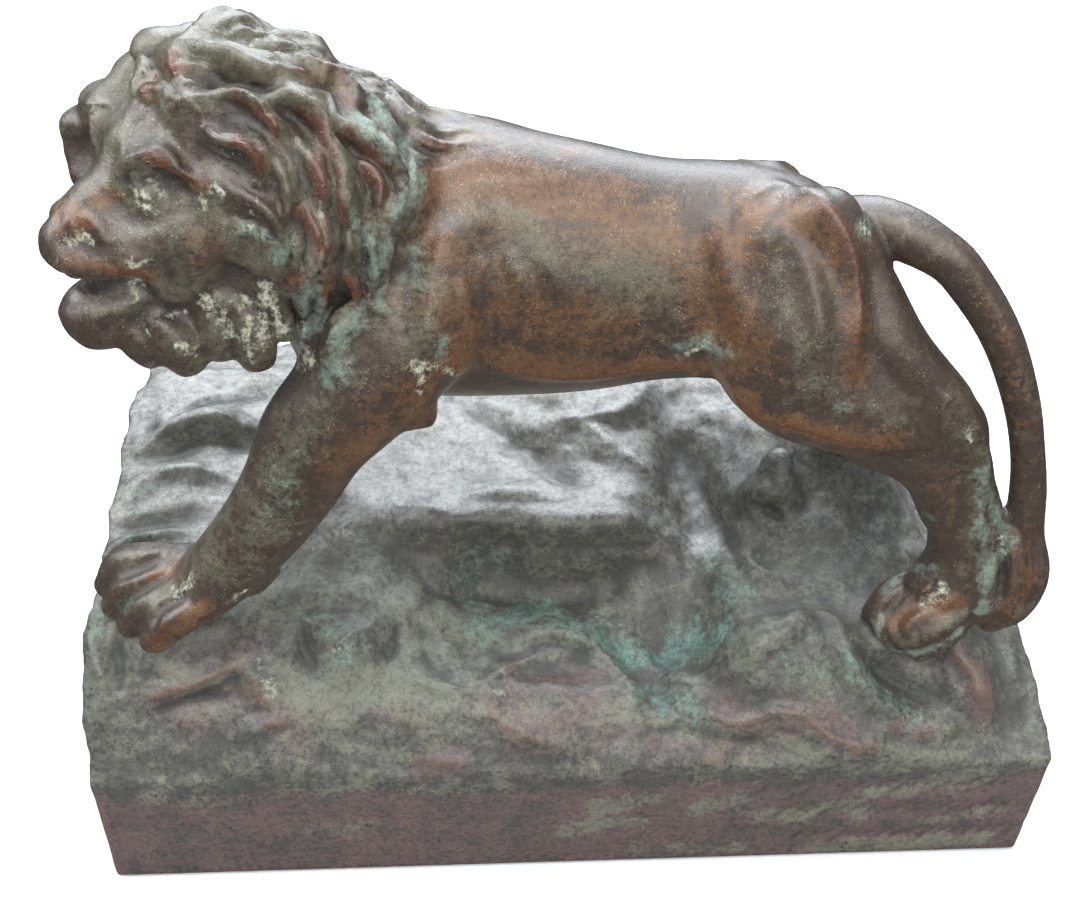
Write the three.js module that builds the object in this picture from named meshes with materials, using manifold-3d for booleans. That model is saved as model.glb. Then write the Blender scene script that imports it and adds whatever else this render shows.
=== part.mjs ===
// Bronze lion striding over a rocky ground, on a low rectangular plinth.
// Millimetres, +Z up. The origin is the centre of the plinth's underside, X runs along the
// length with the head towards -X, and the lion turns its face towards -Y.
import * as THREE from 'three';
import { mergeVertices } from 'three/addons/utils/BufferGeometryUtils.js';
import Module from 'manifold-3d';

const wasm = await Module();
wasm.setup();

// Driving dimensions of the base
const BASE_LENGTH = 260;
const BASE_DEPTH = 136;
const PLINTH_HEIGHT = 39;
const PLINTH_CORNER = 3;
// How far each level of the sides stands in: underside, plinth's top, mid rock, rock's top
const SIDE_INSET = [0, 0, -1, 0.5];
const JOINT_GAP = 0.35;

// Driving dimensions of the lion
const NEAR_Y = -46;
const FAR_Y = 2;

const up = new THREE.Vector3(0, 0, 1);
const sideways = new THREE.Vector3(0, 1, 0);
const vec = (x, y, z) => new THREE.Vector3(x, y, z);

// Solids and joins

// The same geometry with one vertex at each place, so that its faces share their corners
function weld(geometry) {
  geometry.deleteAttribute('normal');
  geometry.deleteAttribute('uv');
  return mergeVertices(geometry, 1e-4);
}

function solidOf(welded) {
  return new wasm.Manifold(new wasm.Mesh({
    numProp: 3,
    vertProperties: new Float32Array(welded.attributes.position.array),
    triVerts: new Uint32Array(welded.index.array),
  }));
}

function geometryOf(solid) {
  const mesh = solid.getMesh();
  const geometry = new THREE.BufferGeometry();
  geometry.setAttribute('position', new THREE.Float32BufferAttribute(mesh.vertProperties, 3));
  geometry.setIndex(Array.from(mesh.triVerts));
  geometry.computeVertexNormals();
  return geometry;
}

function join(solids) {
  return solids.reduce((whole, next) => whole.add(next));
}

// A rounded form along a smooth path. Each station is [x, y, z, half width, half height];
// the width lies along `across`, the height at right angles to it and to the path. `relief`
// raises the surface, and `comb` moves it along the path, by amounts that depend on the place
// along the path and round it.
function form(stations, options = {}) {
  const { sides = 8, steps = 6, rings = 1, across = sideways, cap = 1, grow = 0 } = options;
  const { relief = () => 0, comb = () => 0 } = options;
  const path = new THREE.CatmullRomCurve3(stations.map((s) => vec(s[0], s[1], s[2])));
  const girth = new THREE.CatmullRomCurve3(stations.map((s) => vec(s[3] + grow, s[4] + grow, 0)));
  const capsule = weld(new THREE.CapsuleGeometry(1, 1, rings, sides, steps));
  const place = capsule.attributes.position;
  for (let i = 0; i < place.count; i += 1) {
    const along = place.getY(i) + 0.5;
    const row = THREE.MathUtils.clamp(along, 0, 1);
    const beyond = along - row;
    const angle = Math.atan2(place.getX(i), place.getZ(i));
    const t = row + comb(row, angle);
    const centre = path.getPoint(t);
    const ahead = path.getTangent(t);
    const size = girth.getPoint(t).addScalar(relief(row, angle));
    const wide = across.clone().addScaledVector(ahead, -across.dot(ahead)).normalize();
    const high = ahead.clone().cross(wide);
    centre.addScaledVector(wide, -place.getX(i) * size.x);
    centre.addScaledVector(high, place.getZ(i) * size.y);
    centre.addScaledVector(ahead, beyond * cap * Math.min(size.x, size.y));
    place.setXYZ(i, centre.x, centre.y, centre.z);
  }
  return solidOf(capsule);
}

// A ball pressed to three radii along a frame's forward, left and up directions.
function ball(centre, [forward, left, tall], frame = WORLD, [round, rings] = [10, 6]) {
  const sphere = weld(new THREE.SphereGeometry(1, round, rings));
  sphere.scale(forward, tall, left);
  const turn = new THREE.Matrix4().makeBasis(frame.forward, frame.up, frame.left.clone().negate());
  sphere.applyMatrix4(turn);
  sphere.translate(centre.x, centre.y, centre.z);
  return solidOf(sphere);
}

// A frame is an origin with forward, left and up directions.
function frameAt(origin, yaw, pitch) {
  const forward = vec(-Math.cos(yaw) * Math.cos(pitch), -Math.sin(yaw) * Math.cos(pitch), -Math.sin(pitch));
  const left = up.clone().cross(forward).normalize();
  return { origin, forward, left, up: forward.clone().cross(left) };
}

const WORLD = frameAt(vec(0, 0, 0), 0, 0);

// Body and legs

const TORSO = [
  [-58, -24, 172, 18, 28],
  [-46, -23, 172, 22, 33],
  [-34, -22, 170, 23, 35],
  [-16, -22, 168, 22, 33],
  [0, -22, 167, 20.5, 31],
  [16, -22, 167, 19, 28],
  [32, -22, 167, 20, 27],
  [47, -22, 165, 20, 25],
  [58, -22, 164, 14, 20],
];

const NEAR_FORELEG = [
  [-33, -36, 182, 9, 15],
  [-43, -41, 166, 12, 18],
  [-54, -45, 151, 12, 15],
  [-65, NEAR_Y, 138, 10.5, 13.5],
  [-72, NEAR_Y, 124, 9.5, 12],
  [-80, NEAR_Y, 111, 9, 11],
  [-89, NEAR_Y + 1, 99, 9.5, 10],
  [-97, NEAR_Y + 1, 90, 11, 8.5],
];
const NEAR_ELBOW = [
  [-52, -46, 153, 8, 9],
  [-42, -46, 146, 6, 5.5],
];

const FAR_FORELEG = [
  [-36, -8, 182, 9, 15],
  [-44, -3, 166, 12, 17],
  [-50, 1, 151, 12, 14],
  [-57, FAR_Y, 138, 10.5, 12],
  [-64, FAR_Y, 124, 9.5, 11],
  [-70, FAR_Y, 112, 9, 10],
  [-75, FAR_Y, 101, 9.5, 9.5],
  [-79, FAR_Y, 93, 11, 8.5],
];
const FAR_ELBOW = [
  [-46, 2, 152, 8, 9],
  [-37, 2, 146, 6, 5.5],
];

const NEAR_HINDLEG = [
  [45, -33, 174, 13, 19],
  [46, -37, 162, 14, 21],
  [50, -40, 150, 12, 18],
  [63, -42, 141.5, 10.5, 13],
  [76, -42, 139.5, 8.5, 11.5],
  [87, -42, 134.5, 7.5, 10],
  [92, -42, 120, 7, 7.5],
  [95, -43, 106, 7, 7],
  [97, -44, 94, 8, 7.5],
  [94, -45, 85, 10, 8],
];

const NEAR_HAMSTRING = [
  [48, -34, 186, 8, 10],
  [59, -37, 168, 9, 11],
  [69, -40, 155, 9, 10],
  [84, -42, 142, 7, 8],
];

const FAR_HINDLEG = [
  [38, -11, 176, 13, 19],
  [37, -7, 163, 14, 20],
  [41, -4, 152, 12, 16],
  [54, 0, 146, 10.5, 11],
  [68, 3, 142, 8.5, 8.5],
  [76, 5, 137, 7.5, 8],
  [81, 6, 128, 6.5, 7],
  [83, 6, 119, 8, 8],
  [85, 6, 112, 9, 8],
];
const FAR_HIND_GROUND = 101;

const TAIL = [
  [50, -22, 182, 8, 8],
  [62, -28, 184, 6.5, 6.5],
  [77, -35, 179, 5, 5],
  [86, -37, 171, 4.6, 4.6],
  [95, -40, 159, 4.2, 4.2],
  [103, -42, 143, 3.8, 3.8],
  [108, -43, 129, 3.6, 3.6],
  [111, -44, 117, 4.2, 4.2],
  [113, -46, 102, 7, 6],
  [116, -47, 89, 8, 8],
  [118, -48, 79, 6.5, 6.5],
];
// The web of bronze that ties the tail's tuft to the heel
const TAIL_WEB = [
  [106, -43, 112, 4, 4.5],
  [106, -45, 98, 5, 4.5],
  [107, -47, 82, 5, 4.5],
];

// Haunches and shoulders: [centre, half sizes along X, Y and Z]
const MUSCLES = [
  [[44, -33, 170], [19, 12, 22]],
  [[36, -11, 169], [18, 12, 21]],
  [[52, -8, 158], [10, 9, 16]],
  [[-32, -34, 176], [15, 10, 22]],
  [[-34, -10, 176], [15, 10, 22]],
  [[-54, -28, 161], [19, 20, 20]],
  [[-60, -42, 164], [9, 9, 10]],
];

// Paws: heel station, then toe tips, each toe [tip x, y, z] from the paw's own knuckle line
function paw({ heel, knuckles, tips, thickness }, grow = 0) {
  const pad = form([heel, [...knuckles, thickness * 1.7, thickness * 1.05]], { steps: 2, grow });
  const toes = tips.map(([x, y, z]) => {
    const root = [
      THREE.MathUtils.lerp(knuckles[0], heel[0], 0.35),
      THREE.MathUtils.lerp(knuckles[1], y, 0.55),
      knuckles[2] + thickness * 0.25,
    ];
    const bend = [
      THREE.MathUtils.lerp(root[0], x, 0.62),
      THREE.MathUtils.lerp(root[1], y, 0.75),
      z + thickness * 0.42,
    ];
    const stations = [
      [...root, thickness * 0.52, thickness * 0.6],
      [...bend, thickness * 0.52, thickness * 0.62],
      [x, y, z, thickness * 0.4, thickness * 0.42],
    ];
    return form(stations, { sides: 5, steps: 2, grow });
  });
  return join([pad, ...toes]);
}

const PAWS = [
  {
    heel: [-88, -44, 88.5, 9.5, 8],
    knuckles: [-102, -45, 86],
    tips: [[-106, -54, 79.5], [-114, -50.5, 81], [-117.5, -43.5, 82], [-114, -36, 84]],
    thickness: 8.8,
  },
  {
    heel: [-73, FAR_Y, 91, 10, 7],
    knuckles: [-82, FAR_Y, 88],
    tips: [[-87, -8, 83], [-92, -2, 83], [-93, 5, 83], [-89, 11, 83]],
    thickness: 8,
  },
  {
    heel: [97, -44, 80, 8.5, 8],
    knuckles: [89, -46, 78],
    tips: [[86, -55, 70], [80, -51, 72], [78, -44, 74], [81, -37, 76]],
    thickness: 8.5,
  },
  {
    heel: [87, 6, FAR_HIND_GROUND + 8, 9, 7],
    knuckles: [80, 6, FAR_HIND_GROUND + 5],
    tips: [[76, -3, 101], [72, 2, 101], [71, 9, 101], [75, 14, 101]],
    thickness: 8,
  },
];

// Head, in its own frame: [forward, left, up] from the middle of the skull

const HEAD = frameAt(vec(-90, -41, 198), THREE.MathUtils.degToRad(35), THREE.MathUtils.degToRad(10));

function atHead([forward, left, tall]) {
  return HEAD.origin.clone()
    .addScaledVector(HEAD.forward, forward)
    .addScaledVector(HEAD.left, left)
    .addScaledVector(HEAD.up, tall);
}

function headForm(stations, options = {}) {
  const placed = stations.map(([forward, left, tall, wide, high]) => {
    const point = atHead([forward, left, tall]);
    return [point.x, point.y, point.z, wide, high];
  });
  return form(placed, { across: HEAD.left, ...options });
}

function headBall(place, sizes, detail) {
  return ball(atHead(place), sizes, HEAD, detail);
}

function headParts() {
  const parts = [
    headBall([-3, 0, 1], [19, 16, 16], [10, 7]),
    headForm([[4, 0, -2, 11, 11], [14, 0, -3, 9.5, 8.5], [20, 0, -3.5, 8, 7]], { sides: 10, steps: 3, rings: 2 }),
    headForm([[4, 0, 9, 6, 5], [14, 0, 6.5, 4.6, 4], [22, 0, 2.5, 4.2, 3.6]], { sides: 8, steps: 3 }),
    headBall([24.5, 0, 0.5], [3.4, 5, 3.6], [8, 5]),
    headForm([[0, 0, -14, 9, 6], [13, 0, -18, 7, 6], [26, 0, -21, 6, 6.5]], { steps: 3 }),
  ];
  for (const hand of [-1, 1]) {
    parts.push(headBall([7, hand * 8.5, 10], [5, 6, 3.4], [8, 5]));
    parts.push(headBall([9.5, hand * 8.5, 4.6], [3, 3, 2.6], [8, 5]));
    parts.push(headBall([16, hand * 5.5, -5], [8, 5, 6], [8, 6]));
    parts.push(headBall([0, hand * 11, -5], [14, 9, 13], [8, 6]));
    parts.push(headForm([[-6, hand * 13, 14, 3, 5], [-5, hand * 16, 20, 2.5, 4]], { sides: 6, steps: 2 }));
  }
  return parts;
}

// Mane: a mass that runs from the cheeks back to the shoulders. Its surface is combed into
// bands of hair that leave the parting on top, sweep back and fall down both sides.
// Each ring: [centre x, y, z, half width, half height]
const MANE_RINGS = [
  [-91, -42, 195, 17, 20],
  [-84, -37, 195.5, 24, 27],
  [-74, -31, 193.5, 27, 29.5],
  [-61, -27, 188.5, 26, 27],
  [-46, -23.5, 182, 24, 25],
  [-31, -22, 177, 20, 23],
];
const HAIR_BANDS = 7;
const ROWS_TO_A_BAND = 3;
const HAIR_HEIGHT = 3.6;
const HAIR_SWEEP = 0.2;

// Each band rises from a hollow to a crest and drops behind it
function hairRelief(row, angle) {
  const band = (row * HAIR_BANDS) % 1;
  const crest = band < 0.1 || band > 0.9 ? 1 : 0.25;
  return HAIR_HEIGHT * crest * (0.7 + 0.3 * Math.sin(4 * angle + 7 * row));
}

function hairComb(row, angle) {
  const fall = Math.sin(Math.min(Math.abs(angle), 1.9));
  const wave = 0.12 * Math.sin(6 * angle) + 0.08 * Math.sin(11 * angle + 2);
  return HAIR_SWEEP * (fall + wave - 0.5) * 4 * row * (1 - row);
}

const maneSpine = new THREE.CatmullRomCurve3(MANE_RINGS.map((r) => vec(r[0], r[1], r[2])));
const maneGirth = new THREE.CatmullRomCurve3(MANE_RINGS.map((r) => vec(r[3], r[4], 0)));

// The point on the mane's surface at an angle from the top round to the left, raised by lift
function manePoint(along, angle, lift) {
  const ahead = maneSpine.getTangent(along);
  const centre = maneSpine.getPoint(along);
  const size = maneGirth.getPoint(along);
  const left = ahead.clone().cross(up).normalize();
  const tall = left.clone().cross(ahead);
  centre.addScaledVector(left, Math.sin(angle) * (size.x + lift));
  return centre.addScaledVector(tall, Math.cos(angle) * (size.y + lift));
}

// Loose locks whose tips stand clear of the bands: [along, degrees from the top, length, width]
const LOOSE_LOCKS = [
  [0.12, 12, 0.22, 4.2],
  [0.4, 50, 0.26, 5],
  [0.5, 82, 0.22, 5],
  [0.38, 110, 0.24, 5.8],
];
// Short tufts that crowd in beside the far cheek, from temple to jaw: [forward, left, up, radius]
const FAR_TUFTS = [
  [1, -18, 15, 5.5],
  [4, -20.5, 6, 6],
  [4, -21, -4, 6],
  [0, -20, -14, 6],
];

function looseLock([along, degrees, length, width], hand) {
  const angle = THREE.MathUtils.degToRad(degrees);
  const stations = [0, 0.35, 0.7, 1].map((t) => {
    const curl = angle + 0.45 * t + 0.12 * Math.sin(t * Math.PI * 2);
    const point = manePoint(along + length * t, hand * curl, 0.5 + 3 * Math.sin(Math.PI * t));
    const thin = 1 - 0.65 * t * t;
    return [point.x, point.y, point.z, width * thin, width * 0.8 * thin];
  });
  return form(stations, { sides: 6, steps: 3 });
}

function maneParts() {
  const steps = HAIR_BANDS * ROWS_TO_A_BAND;
  const mass = form(MANE_RINGS, { sides: 18, steps, rings: 2, cap: 0.5, relief: hairRelief, comb: hairComb });
  const locks = [-1, 1].flatMap((hand) => LOOSE_LOCKS.map((lock) => looseLock(lock, hand)));
  const tufts = FAR_TUFTS.map(([forward, left, tall, radius]) => headForm([
    [forward, left, tall, radius, radius],
    [forward - 11, left - 1, tall - 2, radius, radius * 1.2],
  ], { sides: 6, steps: 2 }));
  return [mass, ...locks, ...tufts];
}

// Beard: fat rolls that hang from the jaw, side by side on both cheeks
const BEARD_ROLLS = 5;

function beardParts() {
  const throat = [[6, 0, -14, 14, 12], [-4, 0, -27, 18, 13], [-16, 0, -26, 20, 15]];
  const parts = [headForm(throat, { steps: 2 })];
  for (const hand of [-1, 1]) {
    for (let i = 0; i < BEARD_ROLLS; i += 1) {
      const back = 15 - 7.6 * i;
      const out = 4 + 4 * i;
      parts.push(headForm([
        [back + 4, hand * out, -17, 4.6, 4.6],
        [back, hand * (out + 2), -29, 5, 5],
        [back - 6, hand * (out + 0.5), -41 + i, 4.2, 4.2],
      ], { sides: 6, steps: 2 }));
    }
  }
  return parts;
}

function lionSolid() {
  const body = [
    form(TORSO, { sides: 14, steps: 9, rings: 2, cap: 0.7 }),
    form(NEAR_FORELEG, { sides: 9, steps: 8, rings: 2 }),
    form(NEAR_ELBOW, { sides: 6, steps: 2 }),
    form(FAR_FORELEG, { steps: 7, rings: 2 }),
    form(FAR_ELBOW, { sides: 6, steps: 2 }),
    form(NEAR_HINDLEG, { sides: 9, steps: 11, rings: 2 }),
    form(NEAR_HAMSTRING, { steps: 3 }),
    form(FAR_HINDLEG, { steps: 9, rings: 2 }),
    form(TAIL, { sides: 7, steps: 13, rings: 2 }),
    form(TAIL_WEB, { sides: 6, steps: 2 }),
  ];
  const muscles = MUSCLES.map(([centre, sizes]) => ball(vec(...centre), sizes, WORLD, [8, 5]));
  const paws = PAWS.map((shape) => paw(shape));
  return join([...body, ...muscles, ...paws, ...headParts(), ...maneParts(), ...beardParts()]);
}

// Rock and plinth: a box whose top follows the ground's height

// Height of the ground from front to back, on the left and middle, and at the right end
const GROUND_Y = [-68, -60, -50, -35, -15, 5, 25, 45, 68];
const GROUND_LEFT = [41, 57, 66, 75, 82, 86, 91, 94, 93];
const GROUND_RIGHT = [40, 44, 50, 56, 58, 58, 58, 56, 52];

// Mounds, boulders and hollows: [x, y, half length, half depth, rise, steepness of the edge]
const MOUNDS = [
  [-110, -46, 22, 12, 10, 1],
  [88, -47, 20, 12, 9, 1],
  [-112, 22, 20, 22, 6, 1],
  [-20, -5, 30, 8, 4, 1],
  [36, 0, 13, 34, -12, 1],
  [57, -6, 9, 8, 15, 2],
  [82, 12, 24, 18, 26, 1],
  [20, 34, 40, 20, 4, 1],
  [52, -51, 20, 9, 7, 2],
  [108, -47, 12, 11, 9, 2],
  [29, -34, 13, 20, -16, 1],
  [12, -60, 34, 8, -5, 1],
];

// How fast a mound falls away from its middle
const MOUND_FALL = 1.4;

// The hollow in front of the ledge: where each side stands and how wide its slope is
const HOLLOW_X = { from: -40, to: 19, slopes: [28, 9] };
const HOLLOW_Y = { from: -50, to: -14, slopes: [14, 5] };
const HOLLOW_DROP = -19;

function profile(values, y) {
  let i = 1;
  while (i < GROUND_Y.length - 1 && y > GROUND_Y[i]) {
    i += 1;
  }
  const t = (y - GROUND_Y[i - 1]) / (GROUND_Y[i] - GROUND_Y[i - 1]);
  return THREE.MathUtils.lerp(values[i - 1], values[i], t);
}

// 1 between the two sides of a hollow and 0 outside them, with a slope at each side
function inside({ from, to, slopes }, value) {
  const entered = THREE.MathUtils.smoothstep(value, from - slopes[0], from + slopes[0]);
  return entered * (1 - THREE.MathUtils.smoothstep(value, to - slopes[1], to + slopes[1]));
}

function groundHeight(x, y) {
  const toRight = THREE.MathUtils.smoothstep(x, 60, 132);
  let height = THREE.MathUtils.lerp(profile(GROUND_LEFT, y), profile(GROUND_RIGHT, y), toRight);
  for (const [mx, my, sx, sy, rise, edge] of MOUNDS) {
    const far = ((x - mx) / sx) ** 2 + ((y - my) / sy) ** 2;
    height += rise * Math.exp(-((far * MOUND_FALL) ** edge));
  }
  height += HOLLOW_DROP * inside(HOLLOW_X, x) * inside(HOLLOW_Y, y);
  return Math.max(height, PLINTH_HEIGHT + 1);
}

// A box whose lower face, a grid, gives way to a plain fan of triangles
function boxWithPlainUnderside(columns, rows, levels) {
  const box = new THREE.BoxGeometry(2, 2, levels, columns, rows, levels);
  const underside = box.groups[5];
  const index = Array.from(box.index.array);
  index.splice(underside.start, underside.count);
  box.setIndex(index);
  const merged = weld(box);
  const place = merged.attributes.position;
  const rim = [];
  for (let i = 0; i < place.count; i += 1) {
    const onEdge = Math.max(Math.abs(place.getX(i)), Math.abs(place.getY(i))) > 0.999;
    if (onEdge && place.getZ(i) < -levels / 2 + 0.01) {
      rim.push(i);
    }
  }
  rim.sort((i, j) => Math.atan2(place.getY(i), place.getX(i)) - Math.atan2(place.getY(j), place.getX(j)));
  const points = [...place.array, 0, 0, -levels / 2];
  const faces = Array.from(merged.index.array);
  rim.forEach((corner, i) => faces.push(place.count, rim[(i + 1) % rim.length], corner));
  const closed = new THREE.BufferGeometry();
  closed.setAttribute('position', new THREE.Float32BufferAttribute(points, 3));
  closed.setIndex(faces);
  return closed;
}

const GRID_ALONG = 36;
const GRID_DEEP = 20;

function rockSolid() {
  const levels = 3;
  const box = boxWithPlainUnderside(GRID_ALONG, GRID_DEEP, levels);
  const place = box.attributes.position;
  for (let i = 0; i < place.count; i += 1) {
    const level = Math.round(place.getZ(i) + levels / 2);
    const inset = SIDE_INSET[level];
    const half = [BASE_LENGTH / 2 - inset, BASE_DEPTH / 2 - inset];
    let [x, y] = [place.getX(i) * half[0], place.getY(i) * half[1]];
    const corner = [Math.abs(x) - half[0] + PLINTH_CORNER, Math.abs(y) - half[1] + PLINTH_CORNER];
    if (corner[0] > 0 && corner[1] > 0) {
      const reach = Math.max(1, Math.hypot(...corner) / PLINTH_CORNER);
      x = Math.sign(x) * (half[0] - PLINTH_CORNER + corner[0] / reach);
      y = Math.sign(y) * (half[1] - PLINTH_CORNER + corner[1] / reach);
    }
    const ground = groundHeight(x, y);
    const heights = [0, PLINTH_HEIGHT, (PLINTH_HEIGHT + ground) / 2, ground];
    place.setXYZ(i, x, y, heights[level]);
  }
  const feet = join(PAWS.map((shape) => paw(shape, JOINT_GAP)));
  return solidOf(box).subtract(feet);
}

const bronze = new THREE.MeshStandardMaterial({ color: 0x5b4636, roughness: 0.45, metalness: 0.8 });
const weatheredBronze = new THREE.MeshStandardMaterial({ color: 0x4c5048, roughness: 0.6, metalness: 0.6 });

const lion = new THREE.Mesh(geometryOf(lionSolid()), bronze);
lion.name = 'lion';

const rockBase = new THREE.Mesh(geometryOf(rockSolid()), weatheredBronze);
rockBase.name = 'rock_base';

const model = new THREE.Group();
model.add(lion, rockBase);

export default model;
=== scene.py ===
# %% [markdown]
# # A bronze lion on a rock
# The real object is a small sand-cast bronze: a lion striding over rough ground on a low
# rectangular plinth. It is two castings, the lion and the rock with its plinth, joined at the
# paws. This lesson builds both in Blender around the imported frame. The frame stays where it is,
# and each casting gets a finer mesh that stands for its plain solid.

# %% The frame
import math

import bpy
import numpy as np
from mathutils import Matrix, Vector, noise
from mathutils.bvhtree import BVHTree


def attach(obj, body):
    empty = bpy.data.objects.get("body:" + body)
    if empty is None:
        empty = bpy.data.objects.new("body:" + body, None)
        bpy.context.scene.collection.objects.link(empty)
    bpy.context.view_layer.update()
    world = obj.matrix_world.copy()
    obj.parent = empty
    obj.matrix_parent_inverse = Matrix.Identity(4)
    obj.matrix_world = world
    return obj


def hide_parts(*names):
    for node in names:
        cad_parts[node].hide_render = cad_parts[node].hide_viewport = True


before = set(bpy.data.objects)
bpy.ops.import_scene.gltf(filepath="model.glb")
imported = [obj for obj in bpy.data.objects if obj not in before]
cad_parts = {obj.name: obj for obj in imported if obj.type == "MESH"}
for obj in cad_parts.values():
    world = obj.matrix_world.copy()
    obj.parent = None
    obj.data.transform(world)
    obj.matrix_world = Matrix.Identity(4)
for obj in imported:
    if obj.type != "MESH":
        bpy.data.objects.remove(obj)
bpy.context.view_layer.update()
MM = 0.001
print("nodes", sorted(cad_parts))

# %% [markdown]
# ## The camera
# The photograph looks down on the bronze from close by, so its perspective is strong. The camera
# stands where the plinth's four corners and the paws line up with the photograph. With it a
# place in the photograph becomes a line of sight, and a detail is put where that line meets the
# clay. The detail then sits on the surface, seen from any side.

# %% The camera
PHOTO_SIZE = (1091, 915)
SENSOR_WIDTH = 36.0
LENS = 40.69
EYE = Vector((-30.6, -280.0, 307.4)) * MM
YAW, PITCH, ROLL = (math.radians(a) for a in (-4.63, 37.02, 2.22))

ahead = Vector((-math.sin(YAW) * math.cos(PITCH), math.cos(YAW) * math.cos(PITCH), -math.sin(PITCH)))
level = Vector((math.cos(YAW), math.sin(YAW), 0))
above = level.cross(ahead)
right = math.cos(ROLL) * level + math.sin(ROLL) * above
upright = math.cos(ROLL) * above - math.sin(ROLL) * level

bpy.ops.object.camera_add(location=EYE)
camera = bpy.context.object
camera.name = "photo_camera"
camera.rotation_euler = Matrix((right, upright, -ahead)).transposed().to_euler()
camera.data.sensor_width = SENSOR_WIDTH
camera.data.lens = LENS
camera.data.clip_start = 0.01
bpy.context.scene.camera = camera


def sightline(u, v):
    """The direction from the camera through a place in the photograph."""
    across = (u - PHOTO_SIZE[0] / 2) / PHOTO_SIZE[0] * SENSOR_WIDTH / LENS
    down = (v - PHOTO_SIZE[1] / 2) / PHOTO_SIZE[0] * SENSOR_WIDTH / LENS
    return (ahead + across * right - down * upright).normalized()


middle = sightline(PHOTO_SIZE[0] / 2, PHOTO_SIZE[1] / 2)
print("the middle of the picture looks along", [round(c, 3) for c in middle])

# %% [markdown]
# ## Floor and light
# Bronze shows what stands around it. The photograph was taken outdoors: a bright sky above and
# behind gives the pale sheen along the back, and the dark ground in front keeps the flank's colour
# deep. So the sky grows brighter towards the zenith, and the white floor isn't mirrored.

# %% Floor and light
FLOOR_SIZE = 4.0
PALE_FLOOR = (0.82, 0.83, 0.84, 1)
SKY_COLOUR = (0.80, 0.87, 0.95)
GROUND_GLOW, ZENITH_GLOW = 0.10, 1.1
# Name, place and aim in metres, size in metres, watts, colour
LIGHTS = [
    ("sky_behind", (0.10, 0.70, 1.0), (0, 0, 0.12), 1.1, 22, (0.86, 0.93, 1.0)),
    ("sky_left", (-0.8, -0.1, 0.8), (0, 0, 0.12), 0.7, 7, (0.92, 0.96, 1.0)),
    ("sky_above", (-0.1, -0.35, 1.2), (0, 0, 0.1), 0.9, 9, (0.97, 0.98, 1.0)),
    ("front_fill", (0.35, -0.9, 0.6), (0, 0, 0.1), 0.8, 5, (1.0, 0.96, 0.90)),
]


def soft_light(name, place, aim, size, power, colour):
    """A square area light that faces a point."""
    bpy.ops.object.light_add(type="AREA", location=place)
    light = bpy.context.object
    light.name = name
    light.data.size = size
    light.data.energy = power
    light.data.color = colour
    light.rotation_euler = (Vector(aim) - Vector(place)).to_track_quat("-Z", "Y").to_euler()


bpy.ops.object.select_all(action="DESELECT")
bpy.ops.mesh.primitive_plane_add(size=FLOOR_SIZE)
floor = bpy.context.object
floor.name = "floor"
floor.visible_glossy = False

pale = bpy.data.materials.new("pale_floor")
pale.use_nodes = True
pale_shader = pale.node_tree.nodes["Principled BSDF"]
pale_shader.inputs["Base Color"].default_value = PALE_FLOOR
pale_shader.inputs["Roughness"].default_value = 0.7
floor.data.materials.append(pale)

for light in LIGHTS:
    soft_light(*light)

world = bpy.data.worlds.new("open_sky")
world.use_nodes = True
sky = world.node_tree
direction = sky.nodes.new("ShaderNodeTexCoord")
split = sky.nodes.new("ShaderNodeSeparateXYZ")
rise = sky.nodes.new("ShaderNodeMapRange")
spread = {"From Min": -0.2, "From Max": 1.0, "To Min": GROUND_GLOW, "To Max": ZENITH_GLOW}
for name, value in spread.items():
    rise.inputs[name].default_value = value
sky.links.new(direction.outputs["Generated"], split.inputs[0])
sky.links.new(split.outputs["Z"], rise.inputs["Value"])
sky.links.new(rise.outputs["Result"], sky.nodes["Background"].inputs["Strength"])
sky.nodes["Background"].inputs["Color"].default_value = (*SKY_COLOUR, 1)
bpy.context.scene.world = world
bpy.context.scene.view_settings.view_transform = "Standard"

# %% [markdown]
# ## Rolls of clay
# A modeller builds an animal from rolls and balls of clay laid over each other. Here a roll is a
# sphere primitive whose vertices are drawn out along a smooth path. Each station on the path
# gives a place and two half sizes, across and high. A sphere already has closed, round ends, so
# every roll is a closed body, and closed bodies can be fused by a voxel remesh.

# %% Rolls of clay
# The share of a sphere that makes each round end, and how finely rolls and balls are divided
CAP_SHARE = 0.12
RING_SPACING, FEWEST_RINGS, BALL_SIDES = 1.3 * MM, 14, 24
PATH_STEP = 0.01


def new_sphere(sides, rings):
    """A sphere primitive of radius 1, and its vertices' places."""
    bpy.ops.object.select_all(action="DESELECT")
    bpy.ops.mesh.primitive_uv_sphere_add(segments=sides, ring_count=rings, radius=1)
    piece = bpy.context.object
    return piece, places(piece)


def places(piece):
    """The places of all vertices of a mesh, one row each."""
    flat = np.empty(len(piece.data.vertices) * 3)
    piece.data.vertices.foreach_get("co", flat)
    return flat.reshape(-1, 3)


def put(piece, points):
    """Moves every vertex of a mesh to the places given."""
    piece.data.vertices.foreach_set("co", np.asarray(points, float).ravel())
    piece.data.update()
    return piece


def spline(points, t):
    """Places at t, from 0 to 1, along a smooth curve through the points."""
    points = np.asarray(points, float)
    t = np.atleast_1d(t)
    run = np.vstack([2 * points[0] - points[1], points, 2 * points[-1] - points[-2]])
    where = np.clip(t, 0, 1) * (len(points) - 1)
    i = np.minimum(where.astype(int), len(points) - 2)
    f = (where - i)[:, None]
    a, b, c, d = run[i], run[i + 1], run[i + 2], run[i + 3]
    bend, twist = 2 * a - 5 * b + 4 * c - d, 3 * b - a - 3 * c + d
    return 0.5 * (2 * b + (c - a) * f + bend * f**2 + twist * f**3)


def unit(vectors):
    return vectors / np.maximum(np.linalg.norm(vectors, axis=-1, keepdims=True), 1e-12)


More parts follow.
